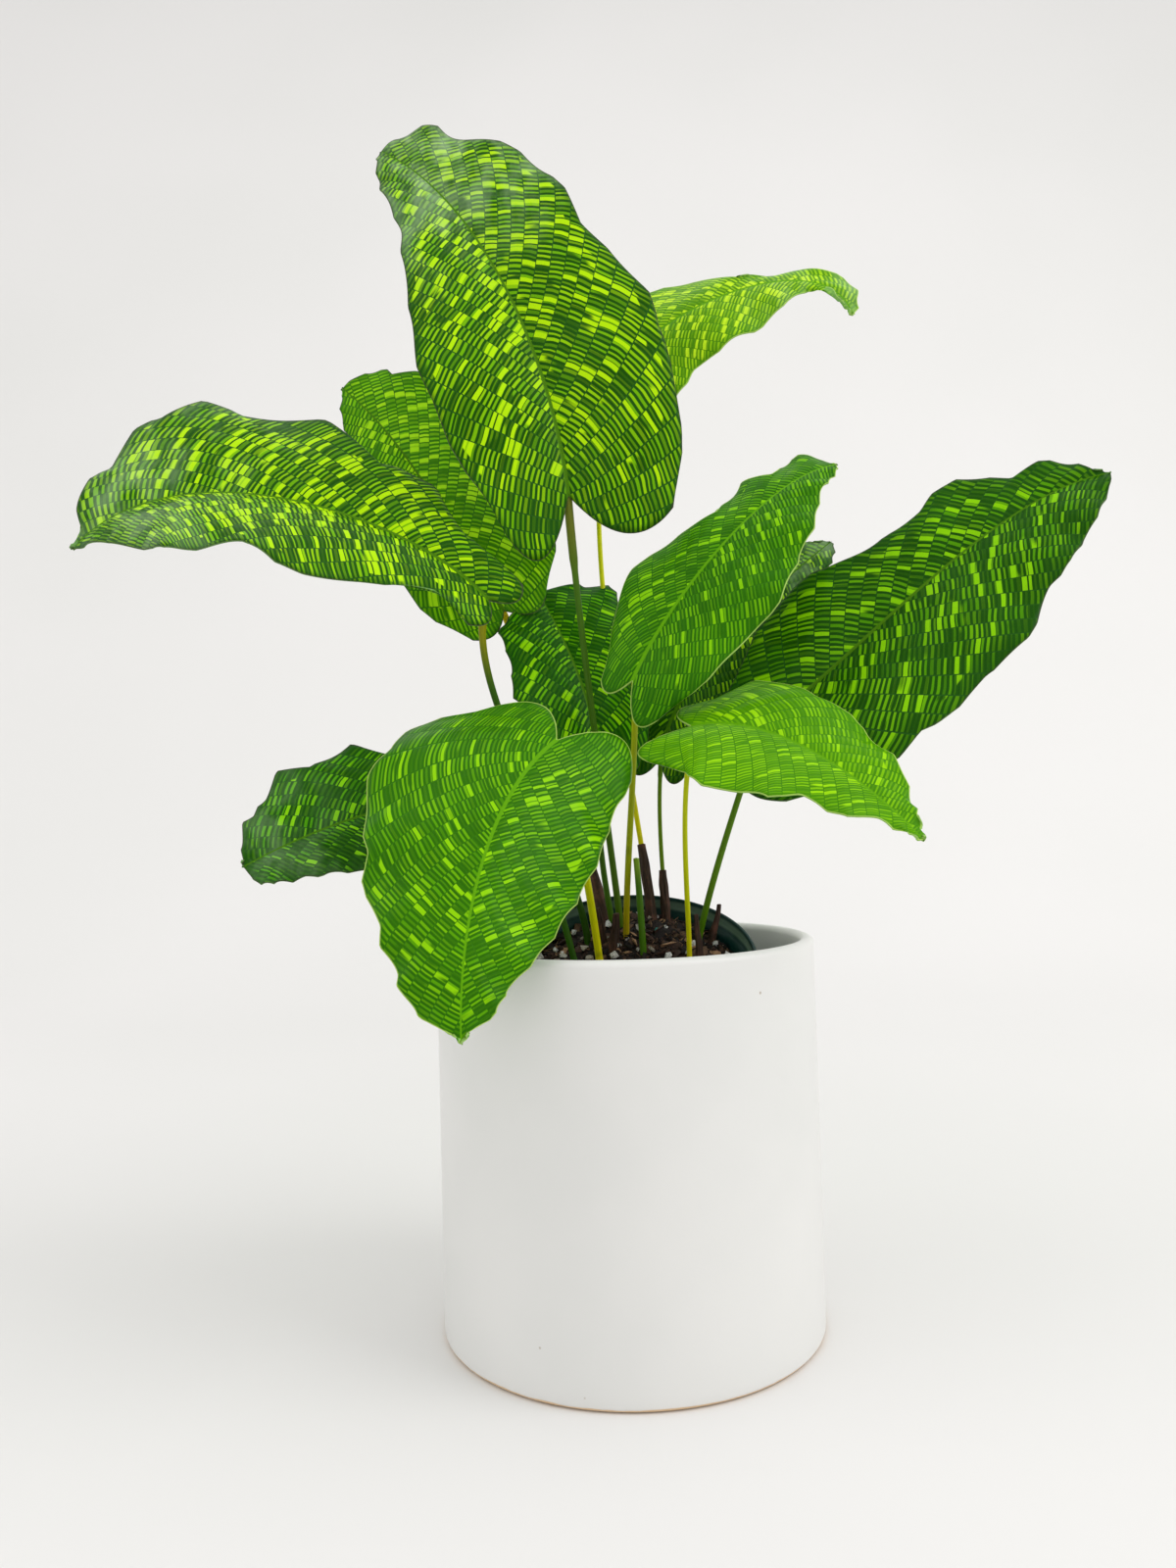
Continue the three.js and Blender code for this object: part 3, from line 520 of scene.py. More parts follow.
# The leaves. rib is a Bezier curve in mm, faces the upper side's direction at base and tip, cup the
# angles in degrees at which the left and right halves rise, lobe how far they reach back past the
# stalk. left and right are half widths from base to tip. teeth are points of the margin: where along
# the blade, and how far out in mm.
leaves = {
    "top": {
        "rib": ((-18, 4, 336), (-23, -3, 395), (-54, 11, 470), (-99, 30, 503)),
        "faces": ((0.15, -1, 0.1), (0, -1, 0.35)), "cup": (8, 8), "lobe": (26, 18),
        "left": (28, 49, 43, 28, 19, 9), "right": (43, 57, 46, 34, 22, 12), "wave": (1.6, 5, 0.4),
        "teethLeft": ((0.07, 4), (0.17, 0), (0.41, -1), (0.74, 0.5), (0.84, -1)),
        "teethRight": ((0.05, 2.5), (0.18, -5.5), (0.22, -0.5), (0.34, -4), (0.44, 5.5), (0.56, 6),
                       (0.63, 2), (0.81, 7), (0.85, 1.5), (0.92, 2.5)),
    },
    "left": {
        "rib": ((-51, -8, 291), (-84, -7, 330), (-179, -17, 359), (-210, -34, 311)),
        "faces": ((-0.1, -1, 0.9), (0, -1, 0.8)), "cup": (10, 10), "lobe": (8, 8),
        "left": (16, 44, 42, 48, 32, 10), "right": (14, 32, 45, 47, 24, 7), "wave": (2, 4, 0),
        "teethLeft": ((0.06, -8), (0.14, -3), (0.27, 8.5), (0.34, 1), (0.46, 2), (0.62, 7),
                      (0.76, 0.5), (0.85, -2)),
        "teethRight": ((0.09, -6), (0.14, 4), (0.21, -6.5), (0.29, 6), (0.4, -0.5), (0.45, 6),
                       (0.51, -1), (0.55, 3.5), (0.61, -4), (0.66, 0.5), (0.79, -7)),
    },
    "back_left": {
        "rib": ((-50, 42, 296), (-75, 44, 335), (-92, 51, 377), (-126, 60, 408)),
        "faces": ((0.1, -1, 0.3), (0.1, -1, 0.4)), "cup": (-12, 20), "lobe": (7, 9),
        "left": (19, 34, 30, 22, 14, 7), "right": (21, 47, 50, 41, 28, 12), "wave": (1.6, 4, 1.5),
        "teethLeft": ((0.06, 4), (0.14, 0.5), (0.25, -4), (0.58, -2), (0.68, -0.5), (0.87, -3)),
        "teethRight": ((0.05, 5.5), (0.15, 0), (0.29, 0), (0.44, -4.5), (0.6, -3), (0.68, -6.5),
                       (0.76, 0.5)),
    },
    "middle": {
        "rib": ((-8, 22, 226), (-12, 24, 259), (-24, 38, 284), (-35, 52, 306)),
        "faces": ((0.1, -1, 0.3), (0.1, -1, 0.3)), "cup": (14, -4), "lobe": (8, 8),
        "left": (18, 27, 29, 23, 11, 5), "right": (18, 31, 34, 36, 27, 15), "wave": (1.4, 4, 2),
        "teethLeft": ((0.11, 4.5), (0.18, -1.5), (0.22, 4), (0.32, 0), (0.43, 1), (0.57, 8), (0.7, 6)),
        "teethRight": ((0.29, -2), (0.55, -1.5), (0.7, 7), (0.78, 3), (0.88, 5)),
    },
    "big_right": {
        "rib": ((58, 8, 236), (98, 10, 262), (157, 2, 331), (199, -12, 333)),
        "faces": ((0.1, -1, 0.7), (0, -1, 0.6)), "cup": (8, 8), "lobe": (9, 20),
        "left": (18, 40, 29, 23, 13, 5), "right": (37, 50, 48, 37, 27, 14), "wave": (1.8, 5, 0.8),
        "teethLeft": ((0.1, 2), (0.23, -5), (0.34, -0.5), (0.4, -1), (0.49, 6), (0.58, -3.5),
                      (0.69, 3.5), (0.83, -3)),
        "teethRight": ((0.06, 4.5), (0.12, 4.5), (0.16, -1), (0.22, 2), (0.28, 0), (0.37, 4.5),
                       (0.48, 0.5), (0.56, 2.5), (0.64, 1), (0.8, 2)),
    },
    "centre_right": {
        "rib": ((6, -18, 255), (19, -20, 284), (63, -10, 339), (93, 0, 344)),
        "faces": ((-0.35, -1, 0.35), (-0.3, -1, 0.5)), "cup": (-14, 0), "lobe": (8, 16),
        "left": (15, 28, 22, 16, 11, 5), "right": (19, 34, 34, 25, 14, 7), "wave": (1.5, 5, 2.6),
        "teethLeft": ((0.15, 2), (0.24, 4), (0.3, 0.5), (0.39, -4.5), (0.51, 5), (0.58, -2), (0.71, 6),
                      (0.8, 6.5), (0.9, 0)),
        "teethRight": ((0.08, 3.5), (0.16, 0), (0.24, 2), (0.4, -1.5), (0.48, 0), (0.65, -2.5)),
    },
    "front": {
        "rib": ((-23, -42, 231), (-46, -68, 212), (-54, -98, 169), (-53, -100, 130)),
        "faces": ((-0.1, -1, 1), (-0.1, -1, 0.1)), "cup": (-36, -4), "lobe": (24, 14),
        "left": (30, 39, 36, 26, 14, 7), "right": (34, 58, 46, 31, 20, 8), "wave": (1.8, 6, 0),
        "teethLeft": ((0.03, 2), (0.1, 0.5), (0.41, 1.5), (0.52, 2), (0.65, 1), (0.74, 2.5),
                      (0.87, -4)),
        "teethRight": ((0.03, 4), (0.05, 10), (0.09, 9), (0.14, -1.5), (0.33, -5), (0.38, 0.5),
                       (0.48, -2.5), (0.53, 0), (0.6, -1.5), (0.76, 0.5), (0.86, -4.5)),
    },
    "low_right": {
        "rib": ((28, -26, 236), (60, -37, 241), (91, -64, 208), (98, -92, 191)),
        "faces": ((-0.1, -1, 1.3), (0.2, -1, 0.8)), "cup": (2, -4), "lobe": (6, 20),
        "left": (14, 33, 24, 15, 8, 4), "right": (21, 36, 29, 17, 8, 4), "wave": (1.6, 4, 3),
        "teethLeft": ((0.05, 0), (0.08, 8), (0.13, 1), (0.19, -8), (0.26, -2), (0.5, -1), (0.74, -3)),
        "teethRight": ((0.08, 4.5), (0.17, 1), (0.27, -1), (0.35, 2.5), (0.4, -3.5), (0.57, 3.5),
                       (0.64, -1), (0.76, -2)),
    },
    "far_left": {
        "rib": ((-51, -8, 211), (-84, -12, 213), (-118, -21, 202), (-145, -34, 186)),
        "faces": ((0, -1, 0.8), (0.1, -1, 0.7)), "cup": (5, 5), "lobe": (12, 12),
        "left": (22, 34, 30, 24, 18, 11), "right": (21, 28, 29, 28, 18, 9), "wave": (1.6, 4, 1),
        "teethLeft": ((0.22, 0.5), (0.45, -2), (0.52, -0.5), (0.59, -2), (0.68, -1), (0.83, 1.5),
                      (0.94, 4)),
        "teethRight": ((0.16, -1), (0.23, -3), (0.3, 8), (0.41, -0.5), (0.5, 5.5), (0.58, 1),
                       (0.66, -0.5), (0.72, 2), (0.9, -3)),
    },
    "upper_right": {
        "rib": ((-4, 53, 385), (-5, 55, 432), (102, 49, 470), (111, 41, 425)),
        "faces": ((-0.15, -1, 0.6), (-0.15, -1, 0.6)), "cup": (-8, -12), "lobe": (6, 8),
        "left": (18, 29, 17, 9, 6, 3), "right": (19, 31, 25, 15, 8, 4), "wave": (1.6, 5, 2),
        "teethLeft": ((0.12, 3), (0.18, 1.5), (0.26, 9), (0.33, 3), (0.39, -5), (0.54, 1), (0.67, 7),
                      (0.8, 2)),
        "teethRight": ((0.1, 5.5), (0.2, -2), (0.31, 1), (0.42, 4), (0.5, 0), (0.63, -8), (0.75, -4)),
    },
    "back_right": {
        "rib": ((18, 35, 226), (24, 36, 263), (71, 45, 303), (100, 53, 325)),
        "faces": ((-0.3, -1, 0.4), (-0.3, -1, 0.4)), "cup": (8, 8), "lobe": (8, 10),
        "left": (14, 30, 32, 26, 16, 7), "right": (14, 28, 26, 19, 12, 6), "wave": (1.5, 4, 0.6),
        "teethLeft": ((0.13, 1.5), (0.41, 2), (0.6, 0), (0.78, -5), (0.9, -1.5)),
        "teethRight": ((0.07, 4.5), (0.2, 2.5), (0.54, 1)),
    },
}
blade = {
    "rows": 130, "columns": 73, "camber": 0.05, "ribCrowding": 1.5, "edgeCrowding": 2, "edgeStart": 0.55,
    "lobeBend": 1.3, "veinBend": 0.08, "waveSpread": 0.4, "wavePhase": 2.1, "scallops": 9,
    "scallopDepth": 1.3, "scallopShift": (0.3, 0.1), "quilt": 0.35, "quiltFrom": (1.5, 7),
    "quiltMargin": 0.12, "quiltFade": 0.6, "groove": 0.5, "grooveWidth": 1.6, "grooveFade": 0.7,
    "thickness": 1.7, "thinnest": 0.3, "ribHalfWidth": 1.5, "ribFade": 0.85, "underRib": 0.9,
    "tipRows": 0.12, "midColumns": 0.45,  # how much closer the grid's lines lie at the tip and the rib
}


# A Catmull-Rom curve through the values, which then falls to nothing at the tip.
def smoothBetween(values, t):
    points = [*values, 0]
    place = min(t, 1) * (len(points) - 1)
    i = min(int(place), len(points) - 2)
    f, b, c = place - i, points[i], points[i + 1]
    a = points[i - 1] if i > 0 else 2 * b - c
    d = points[i + 2] if i + 2 < len(points) else -b
    return b + 0.5 * f * (c - a + f * (2 * a - 5 * b + 4 * c - d + f * (3 * (b - c) + d - a)))


def between(points, t):
    previous = (0, 0)
    for point in (*points, (1, 0)):
        if t <= point[0]:
            return mixed(previous[1], point[1], (t - previous[0]) / max(1e-6, point[0] - previous[0]))
        previous = point
    return 0


# The midrib, as points at even distances along its curve.
class Rib:
    steps = 300

    def __init__(self, leaf):
        points = bezier(leaf["rib"], self.steps)
        travelled = lengthsAlong(points)
        self.length = travelled[-1]
        self.faces = [Vector(face).normalized() for face in leaf["faces"]]
        self.points, i = [], 0
        for step in range(self.steps + 1):
            distance = self.length * step / self.steps
            while i < self.steps - 1 and travelled[i + 1] < distance:
                i += 1
            share = (distance - travelled[i]) / (travelled[i + 1] - travelled[i])
            self.points.append(points[i].lerp(points[i + 1], share))

    def point(self, distance):
        place = clamp(distance / self.length) * self.steps
        i = min(int(place), self.steps - 1)
        return self.points[i].lerp(self.points[i + 1], place - i)

    def at(self, distance):
        inside = clamp(distance, 0, self.length)
        near = self.length / 100
        first, last = max(0, inside - near), min(self.length, inside + near)
        along = (self.point(last) - self.point(first)).normalized()
        face = self.faces[0].lerp(self.faces[1], inside / self.length)
        across = along.cross(face).normalized()
        return self.point(inside) + along * (distance - inside), across, across.cross(along)


# Side veins leave the rib at wide angles near the base, where they sweep back round the lobes, and at
# narrow ones near the tip. angles are pairs of a share of the rib's length and degrees from the rib.
veins = {
    "angles": ((-0.2, 120), (0, 80), (0.08, 62), (0.2, 48), (0.45, 38), (0.7, 33), (1, 28)),
    "bend": 0.14, "steps": 160,
}
VeinRow = namedtuple("VeinRow", "at slant band bar angle")


# How many side veins and bars of the mosaic lie before each place on the rib.
def veinTable(length, look):
    table, points, bands, bars = [], veins["angles"], 0, 0
    stepLength = length * (1 - points[0][0]) / veins["steps"]
    for i in range(veins["steps"] + 1):
        share = mixed(points[0][0], 1, i / veins["steps"])
        for (lowShare, lowAngle), (highShare, highAngle) in zip(points, points[1:]):
            if share <= highShare:
                break
        degrees = mixed(lowAngle, highAngle, (share - lowShare) / (highShare - lowShare))
        angle = math.radians(look.get("lean", 1.0) * degrees)
        table.append(VeinRow(share * length, math.cos(angle) / math.sin(angle), bands, bars, angle))
        bands += stepLength * math.sin(angle) / look["band"]
        bars += stepLength * math.cos(angle) / look["bar"]
    return table


# The side vein on which a spot of the blade lies, found by halving: its band and bar numbers.
def onVein(table, along, out, width, barPitch):
    bend = veins["bend"] / max(width, 1)
    low, high = 0, len(table) - 1

    def miss(row):
        return row.at + out * row.slant + bend * out * out - along

    if miss(table[0]) > 0:
        high = 1
    while high - low > 1:
        middle = (low + high) // 2
        low, high = (middle, high) if miss(table[middle]) <= 0 else (low, middle)
    a, b = table[low], table[high]
    share = -miss(a) / max(1e-9, miss(b) - miss(a))
    angle = mixed(a.angle, b.angle, share)
    slant = max(-0.8, math.cos(angle) / math.sin(angle)) + bend * out
    bar = mixed(a.bar, b.bar, share) + out * math.hypot(1, slant) / barPitch
    return mixed(a.band, b.band, share), bar


# Where a spot of the blade lies: t runs from base to tip, s from -1 at the left margin to 1 at the right.
def bladeSpot(leaf, length, t, s):
    side, out = (0 if s < 0 else 1), abs(s)
    amplitude, count, phase = leaf["wave"]
    wave = math.sin(2 * math.pi * count * t + phase + blade["wavePhase"] * side)
    width = smoothBetween(leaf[("left", "right")[side]], t)
    shift = blade["scallopShift"][0] * side + blade["scallopShift"][1] * phase
    scallop = abs(math.sin(math.pi * (blade["scallops"] * t + shift)))
    tooth = between(leaf[("teethLeft", "teethRight")[side]], t) + blade["scallopDepth"] * (0.5 - scallop)
    lobe = leaf["lobe"][side]
    ribAt = length * (1 - (1 - t) ** blade["ribCrowding"])
    edgeStart = -blade["edgeStart"] * lobe
    edgeAt = edgeStart + (length - edgeStart) * (1 - (1 - t) ** blade["edgeCrowding"])
    bend = (ribAt + edgeAt) / 2 - blade["lobeBend"] * lobe * (1 - t) ** 4 - blade["veinBend"] * width
    along = (1 - out) ** 2 * ribAt + 2 * out * (1 - out) * bend + out * out * edgeAt
    outward = out * (width + tooth * out**3 + blade["waveSpread"] * amplitude * wave * (1 - t) * out)
    slope = math.radians(leaf["cup"][side])
    rise = outward * math.sin(slope) + blade["camber"] * width * math.sin(math.pi * out)
    rise += amplitude * wave * out * out * (1 - t**4)
    spot = {"t": t, "s": s, "side": side, "along": along, "outward": outward, "width": width}
    return SimpleNamespace(**spot, slope=slope, rise=rise)


# Besides its points, each blade keeps UV maps of its band and bar numbers (bands), of its distance from
# the rib in mm with t (depths), and of its shares across and along the blade (shares).
def leafSheet(name, leaf, look):
    rib = Rib(leaf)
    table = veinTable(rib.length, look)

    @cache
    def spotAt(u, v):
        s, middle, tip = 2 * u - 1, blade["midColumns"], blade["tipRows"]
        t = min(1, v * (1 + tip - tip * v))
        spot = bladeSpot(leaf, rib.length, t, s * (middle + (1 - middle) * abs(s)))
        spot.band, spot.bar = onVein(table, spot.along, abs(spot.outward), spot.width, look["bar"])
        return spot

    def place(u, v):
        spot = spotAt(u, v)
        point, across, face = rib.at(spot.along)
        quilt = ease(*blade["quiltFrom"], spot.outward) * ease(0, blade["quiltMargin"], 1 - abs(spot.s))
        quilt *= blade["quilt"] * (1 - abs(2 * (spot.band % 1) - 1)) * (1 - blade["quiltFade"] * spot.t)
        groove = blade["groove"] * math.exp(-((spot.outward / blade["grooveWidth"]) ** 2))
        groove *= 1 - blade["grooveFade"] * spot.t
        sideways = math.copysign(spot.outward * math.cos(spot.slope), spot.s)
        return point + across * sideways + face * (spot.rise + quilt - groove)

    def bands(u, v):
        spot = spotAt(u, v)
        return spot.band + 40 * spot.side + 80, spot.bar  # each side has its own bands, all above nought

    def depths(u, v):
        return abs(spotAt(u, v).outward), spotAt(u, v).t

    def shares(u, v):
        return spotAt(u, v).s * 0.5 + 0.5, spotAt(u, v).along / rib.length

    maps, size = {"bands": bands, "depths": depths, "shares": shares}, (blade["columns"], blade["rows"])
    return sheet("leaf_" + name + "_piece", *size, place, maps, merge=0.01, closed=False), rib


# Random cells along one number: their colours, and the distance to the nearest border.
def oneWay(graph, place, evenness):
    cell = {"W": place, "Scale": 1.0, "Randomness": evenness}
    picked = graph.node("ShaderNodeTexVoronoi", cell, voronoi_dimensions="1D")
    gap = graph.node("ShaderNodeTexVoronoi", cell, voronoi_dimensions="1D", feature="DISTANCE_TO_EDGE")
    return graph.split(picked.outputs["Color"]), gap.outputs["Distance"]


def rounded(graph, first, second):
    return graph.node("ShaderNodeMath", {0: first, 1: second, 2: 0.12}, operation="SMOOTH_MIN").outputs[0]


# The mosaic: thin bars fill the bands between the side veins, and some are merged into bright blocks.
mosaicShape = {
    "wander": 1.6, "wanderScale": 55, "bandShift": 17.31, "thinSpread": 0.5, "thinGap": (0.19, 0.33),
    "blockPitch": 0.9, "blockSpread": 0.6, "blockGap": (0.1, 0.2), "endWidth": 8.0, "clusterScale": 30,
    # the painted sheen: the colour of the highlight streaks painted near the tip, and where along the rib
    # they begin
    "paintedSheenColour": (0.42, 0.6, 0.34), "paintedSheenFrom": (0.45, 0.95), "ribTaper": -0.65, "margin": (0.55, 0.2),
}
mosaicColours = ("Vein", "Dark", "Mid", "Bright", "Rib", "Margin")
mosaicAmounts = ("Bright share", "Dull share", "Seed", "Contrast", "Painted sheen", "Calm")


def mosaicGroup():
    inputs = {key: "Color" for key in mosaicColours} | {key: "Float" for key in mosaicAmounts}
    graph, given, result = newGroup("mosaic", inputs, {"Color": "Color", "Height": "Float"})
    shape = mosaicShape
    across, along = graph.pair("bands")
    fromRib, t = graph.pair("depths")
    ribShare = graph.pair("shares")[1]
    point = graph.point()
    fromMargin = graph.pair("margin")[0]
    band = graph.math("FLOOR", across)
    inBand = graph.minus(across, band)
    toVein = graph.minus(0.5, graph.math("ABSOLUTE", graph.minus(inBand, 0.5)))
    # thin bars, and the wider blocks that some of them form
    wander = graph.times(graph.noise(point, shape["wanderScale"], 1), shape["wander"])
    barAt = graph.plus(graph.math("MULTIPLY_ADD", band, shape["bandShift"], given["Seed"]), along)
    barAt = graph.plus(barAt, wander)
    thin, thinGap = oneWay(graph, barAt, shape["thinSpread"])
    blockAt = graph.math("MULTIPLY_ADD", barAt, shape["blockPitch"], 0.3)
    block, blockGap = oneWay(graph, blockAt, shape["blockSpread"])
    toEnd = graph.times(toVein, shape["endWidth"])
    thinBar = graph.fade(rounded(graph, toEnd, thinGap), *shape["thinGap"])
    blockBar = graph.fade(rounded(graph, toEnd, graph.times(blockGap, 1.1)), *shape["blockGap"])
    # bright blocks come in clusters, and few lie near the margin, the base and the tip
    cluster = graph.minus(graph.noise(point, shape["clusterScale"], 2), 0.5)
    lively = graph.times(graph.fade(ribShare, -0.05, 0.2), graph.fade(ribShare, 0.97, 0.7))
    lively = graph.times(lively, graph.fade(fromMargin, 1, 9))
    wanted = graph.times(graph.math("MULTIPLY_ADD", cluster, 1.5, 1.0), given["Bright share"])
    brightFrom = graph.minus(1.0, graph.times(wanted, lively))
    isBright = graph.fade(graph.minus(block["Red"], brightFrom), -0.01, 0.01)
    isBright = graph.times(isBright, blockBar)
    isDull = graph.plus(block["Green"], graph.times(cluster, 1.2))
    isDull = graph.fade(isDull, given["Dull share"], graph.minus(given["Dull share"], 0.06))
    # colours: the dark ground, the bars on it, and the veins
    plain = graph.mix(graph.fade(graph.noise(point, 45, 2), 0.35, 0.65), given["Dark"], given["Vein"])
    ground = graph.mix(0.3, given["Dark"], plain)
    bar = graph.mix(graph.fade(thin["Red"], 0.1, 1.0, 0.0, 0.5), given["Mid"], given["Bright"])
    bar = graph.mix(graph.fade(thin["Green"], 0.6, 0.75, 0, 0.5), bar, ground)
    bar = graph.mix(graph.times(isDull, 0.8), bar, ground)
    inside = graph.math("MAXIMUM", thinBar, isBright)
    bar = graph.mix(isBright, bar, given["Bright"])
    calm = graph.times(graph.fade(fromMargin, 0.4, given["Calm"]), graph.fade(t, 0.995, 0.85))
    contrast = graph.times(given["Contrast"], graph.math("MULTIPLY_ADD", calm, 0.6, 0.4))
    colour = graph.mix(graph.times(inside, contrast), ground, bar)
    vein = graph.times(graph.fade(toVein, 0.045, 0.015), graph.fade(fromRib, 0.5, 3))
    colour = graph.mix(graph.times(vein, 0.5), colour, given["Vein"])
    # a painted highlight: pale sheen streaks painted into the colour towards the tip
    streaks = graph.fade(graph.noise(graph.scaled(point, (1.0, 1.0, 0.5)), 70, 4, 0.6), 0.38, 0.68)
    paintedSheen = graph.times(streaks, graph.fade(ribShare, *shape["paintedSheenFrom"]))
    colour = graph.mix(graph.times(paintedSheen, given["Painted sheen"]), colour, shape["paintedSheenColour"])
    ribWidth = graph.math("MULTIPLY_ADD", ribShare, shape["ribTaper"], 1.0)
    rib = graph.fade(graph.minus(fromRib, ribWidth), 0.15, -0.35)
    colour = graph.mix(rib, colour, given["Rib"])
    margin = graph.times(graph.fade(fromMargin, *shape["margin"]), 0.8)
    graph.feed(result["Color"], graph.mix(margin, colour, given["Margin"]))
    height = graph.plus(graph.times(inside, 0.5), graph.times(vein, -0.6))
    pores = graph.times(graph.noise(point, 2200, 2), 0.35)
    graph.feed(result["Height"], graph.plus(height, pores))
    return graph


mosaic = mosaicGroup()
# band and bar are the widths in mm of a band between two side veins and of a bar in it. lean turns
# the side veins towards the tip. Colours and amounts that a leaf doesn't name are those of its age.
ages = {
    "mature": {
        "Vein": (0.022, 0.11, 0.012), "Dark": (0.01, 0.07, 0.0008), "Mid": (0.15, 0.42, 0.001),
        "Bright": (0.45, 0.78, 0.002), "Rib": (0.07, 0.2, 0.004), "Margin": (0.06, 0.06, 0.04),
        "Bright share": 0.26, "Dull share": 0.15, "Calm": 3.5, "Contrast": 0.95,
    },
    "fresh": {
        "Vein": (0.035, 0.18, 0.002), "Dark": (0.018, 0.115, 0.0005), "Mid": (0.08, 0.31, 0.0008),
        "Bright": (0.25, 0.62, 0.002), "Rib": (0.11, 0.34, 0.002), "Margin": (0.5, 0.7, 0.15),
        "Bright share": 0.13, "Dull share": 0.16, "Calm": 3.0, "Contrast": 0.85,
    },
}
# A leaf's sheen amount paints pale highlight streaks into its colour near the tip.
looks = {
    "top": {"age": "mature", "band": 5.5, "bar": 2.2, "lean": 0.9, "Painted sheen": 0.55},
    "left": {"age": "mature", "band": 5.0, "bar": 2.1, "lean": 0.68, "Painted sheen": 0.3},
    "back_left": {
        "age": "mature", "band": 4.6, "bar": 1.9, "Dark": (0.045, 0.2, 0.002), "Mid": (0.19, 0.53, 0.003),
        "Bright": (0.42, 0.8, 0.01),
    },
    "middle": {
        "age": "mature", "band": 4.8, "bar": 2.1, "Dark": (0.01, 0.085, 0.0008), "Mid": (0.1, 0.4, 0.001),
        "Bright": (0.3, 0.7, 0.002), "Bright share": 0.12, "Dull share": 0.42,
    },
    "big_right": {
        "age": "mature", "band": 5.6, "bar": 2.2, "Mid": (0.08, 0.3, 0.001), "Bright": (0.25, 0.62, 0.002),
        "Bright share": 0.18, "Dull share": 0.3, "Calm": 10.0,
    },
    "centre_right": {"age": "fresh", "band": 4.6, "bar": 1.6},
    "front": {
        "age": "fresh", "band": 4.8, "bar": 1.6, "Dark": (0.022, 0.125, 0.0005),
        "Mid": (0.095, 0.34, 0.0008), "Bright": (0.29, 0.67, 0.002),
    },
    "low_right": {
        "age": "fresh", "band": 4.4, "bar": 1.5, "Dark": (0.065, 0.25, 0.0008), "Mid": (0.17, 0.46, 0.001),
        "Bright": (0.34, 0.72, 0.004),
    },
    "far_left": {
        "age": "mature", "band": 4.6, "bar": 1.9, "Mid": (0.075, 0.33, 0.002), "Bright": (0.24, 0.62, 0.003),
        "Bright share": 0.12, "Dull share": 0.5, "Painted sheen": 0.2,
    },
    "upper_right": {
        "age": "fresh", "band": 4.4, "bar": 1.8, "Dark": (0.09, 0.28, 0.003), "Mid": (0.33, 0.64, 0.006),
        "Bright": (0.62, 0.92, 0.02), "Bright share": 0.26, "Painted sheen": 0.3,
    },
    "back_right": {
        "age": "mature", "band": 4.6, "bar": 1.9, "Bright share": 0.05, "Dull share": 0.5, "Painted sheen": 0.4,
    },
}
leafSides = {
    "Upper": {"roughness": 0.32, "specular": 0.05, "bump": 0.35, "depth": 0.25, "paleness": 0},
    "Under": {"roughness": 0.55, "specular": 0.08, "bump": 0.25, "depth": 0.2, "paleness": 0.55},
}
paleUnderside = (0.2, 0.42, 0.11)


def leafMaterial(name, side, values):
    finish = leafSides[side]
    material, graph, shader = newMaterial(f"leaf{side}_{name}", finish["roughness"], finish["specular"])
    found = useGroup(graph, mosaic, values)
    colour = found["Color"]
    if finish["paleness"]:
        colour = graph.mix(finish["paleness"], colour, paleUnderside)
    paint(graph, shader, colour, found["Height"], finish["bump"], finish["depth"])
    return material


# Adds a UV map of each vertex's distance from the margin, in mm, and the thickness, most at the rib.
def finishLeaf(made):
    mesh = bmesh.new()
    mesh.from_mesh(made.data)
    border = [vertex.co for vertex in mesh.verts if vertex.is_boundary]
    tree = kdtree.KDTree(len(border))
    for i, place in enumerate(border):
        tree.insert(place, i)
    tree.balance()
    away = [tree.find(vertex.co)[2] / mm for vertex in mesh.verts]
    weights = mesh.verts.layers.deform.new()
    margin = mesh.loops.layers.uv.new("margin")
    depths = mesh.loops.layers.uv["depths"]
    mesh.verts.index_update()
    for face in mesh.faces:
        for loop in face.loops:
            loop[margin].uv = (away[loop.vert.index], 0)
            fromRib, t = loop[depths].uv
            swelling = math.exp(-((fromRib / blade["ribHalfWidth"]) ** 2)) * (1 - blade["ribFade"] * t)
            loop.vert[weights][0] = clamp(mixed(blade["thinnest"], 1, swelling))
    mesh.to_mesh(made.data)
    mesh.free()
    made.vertex_groups.new(name="thick")
    solid = made.modifiers.new("thickness", "SOLIDIFY")
    solid.thickness = blade["thickness"] * mm
    solid.offset = -1
    solid.vertex_group = "thick"
    solid.material_offset = 1
    solid.material_offset_rim = 1
    solid.use_even_offset = False


ribs = {}
for index, (name, leaf) in enumerate(leaves.items()):
    look = looks[name]
    made, ribs[name] = leafSheet(name, leaf, look)
    finishLeaf(made)
    values = {"Seed": 3.7 * index, "Painted sheen": 0.0} | ages[look["age"]]
    values |= {key: look[key] for key in (*mosaicColours, *mosaicAmounts) if key in look}
    sides = [leafMaterial(name, side, values) for side in leafSides]
    handOver(made, "leaf_" + look["age"], "leaf_" + name, *sides)
report("leaves")


# Stalks: u runs round, v from the buried foot to the tip. The last rows at both ends close the rod.
rodCap = 0.01


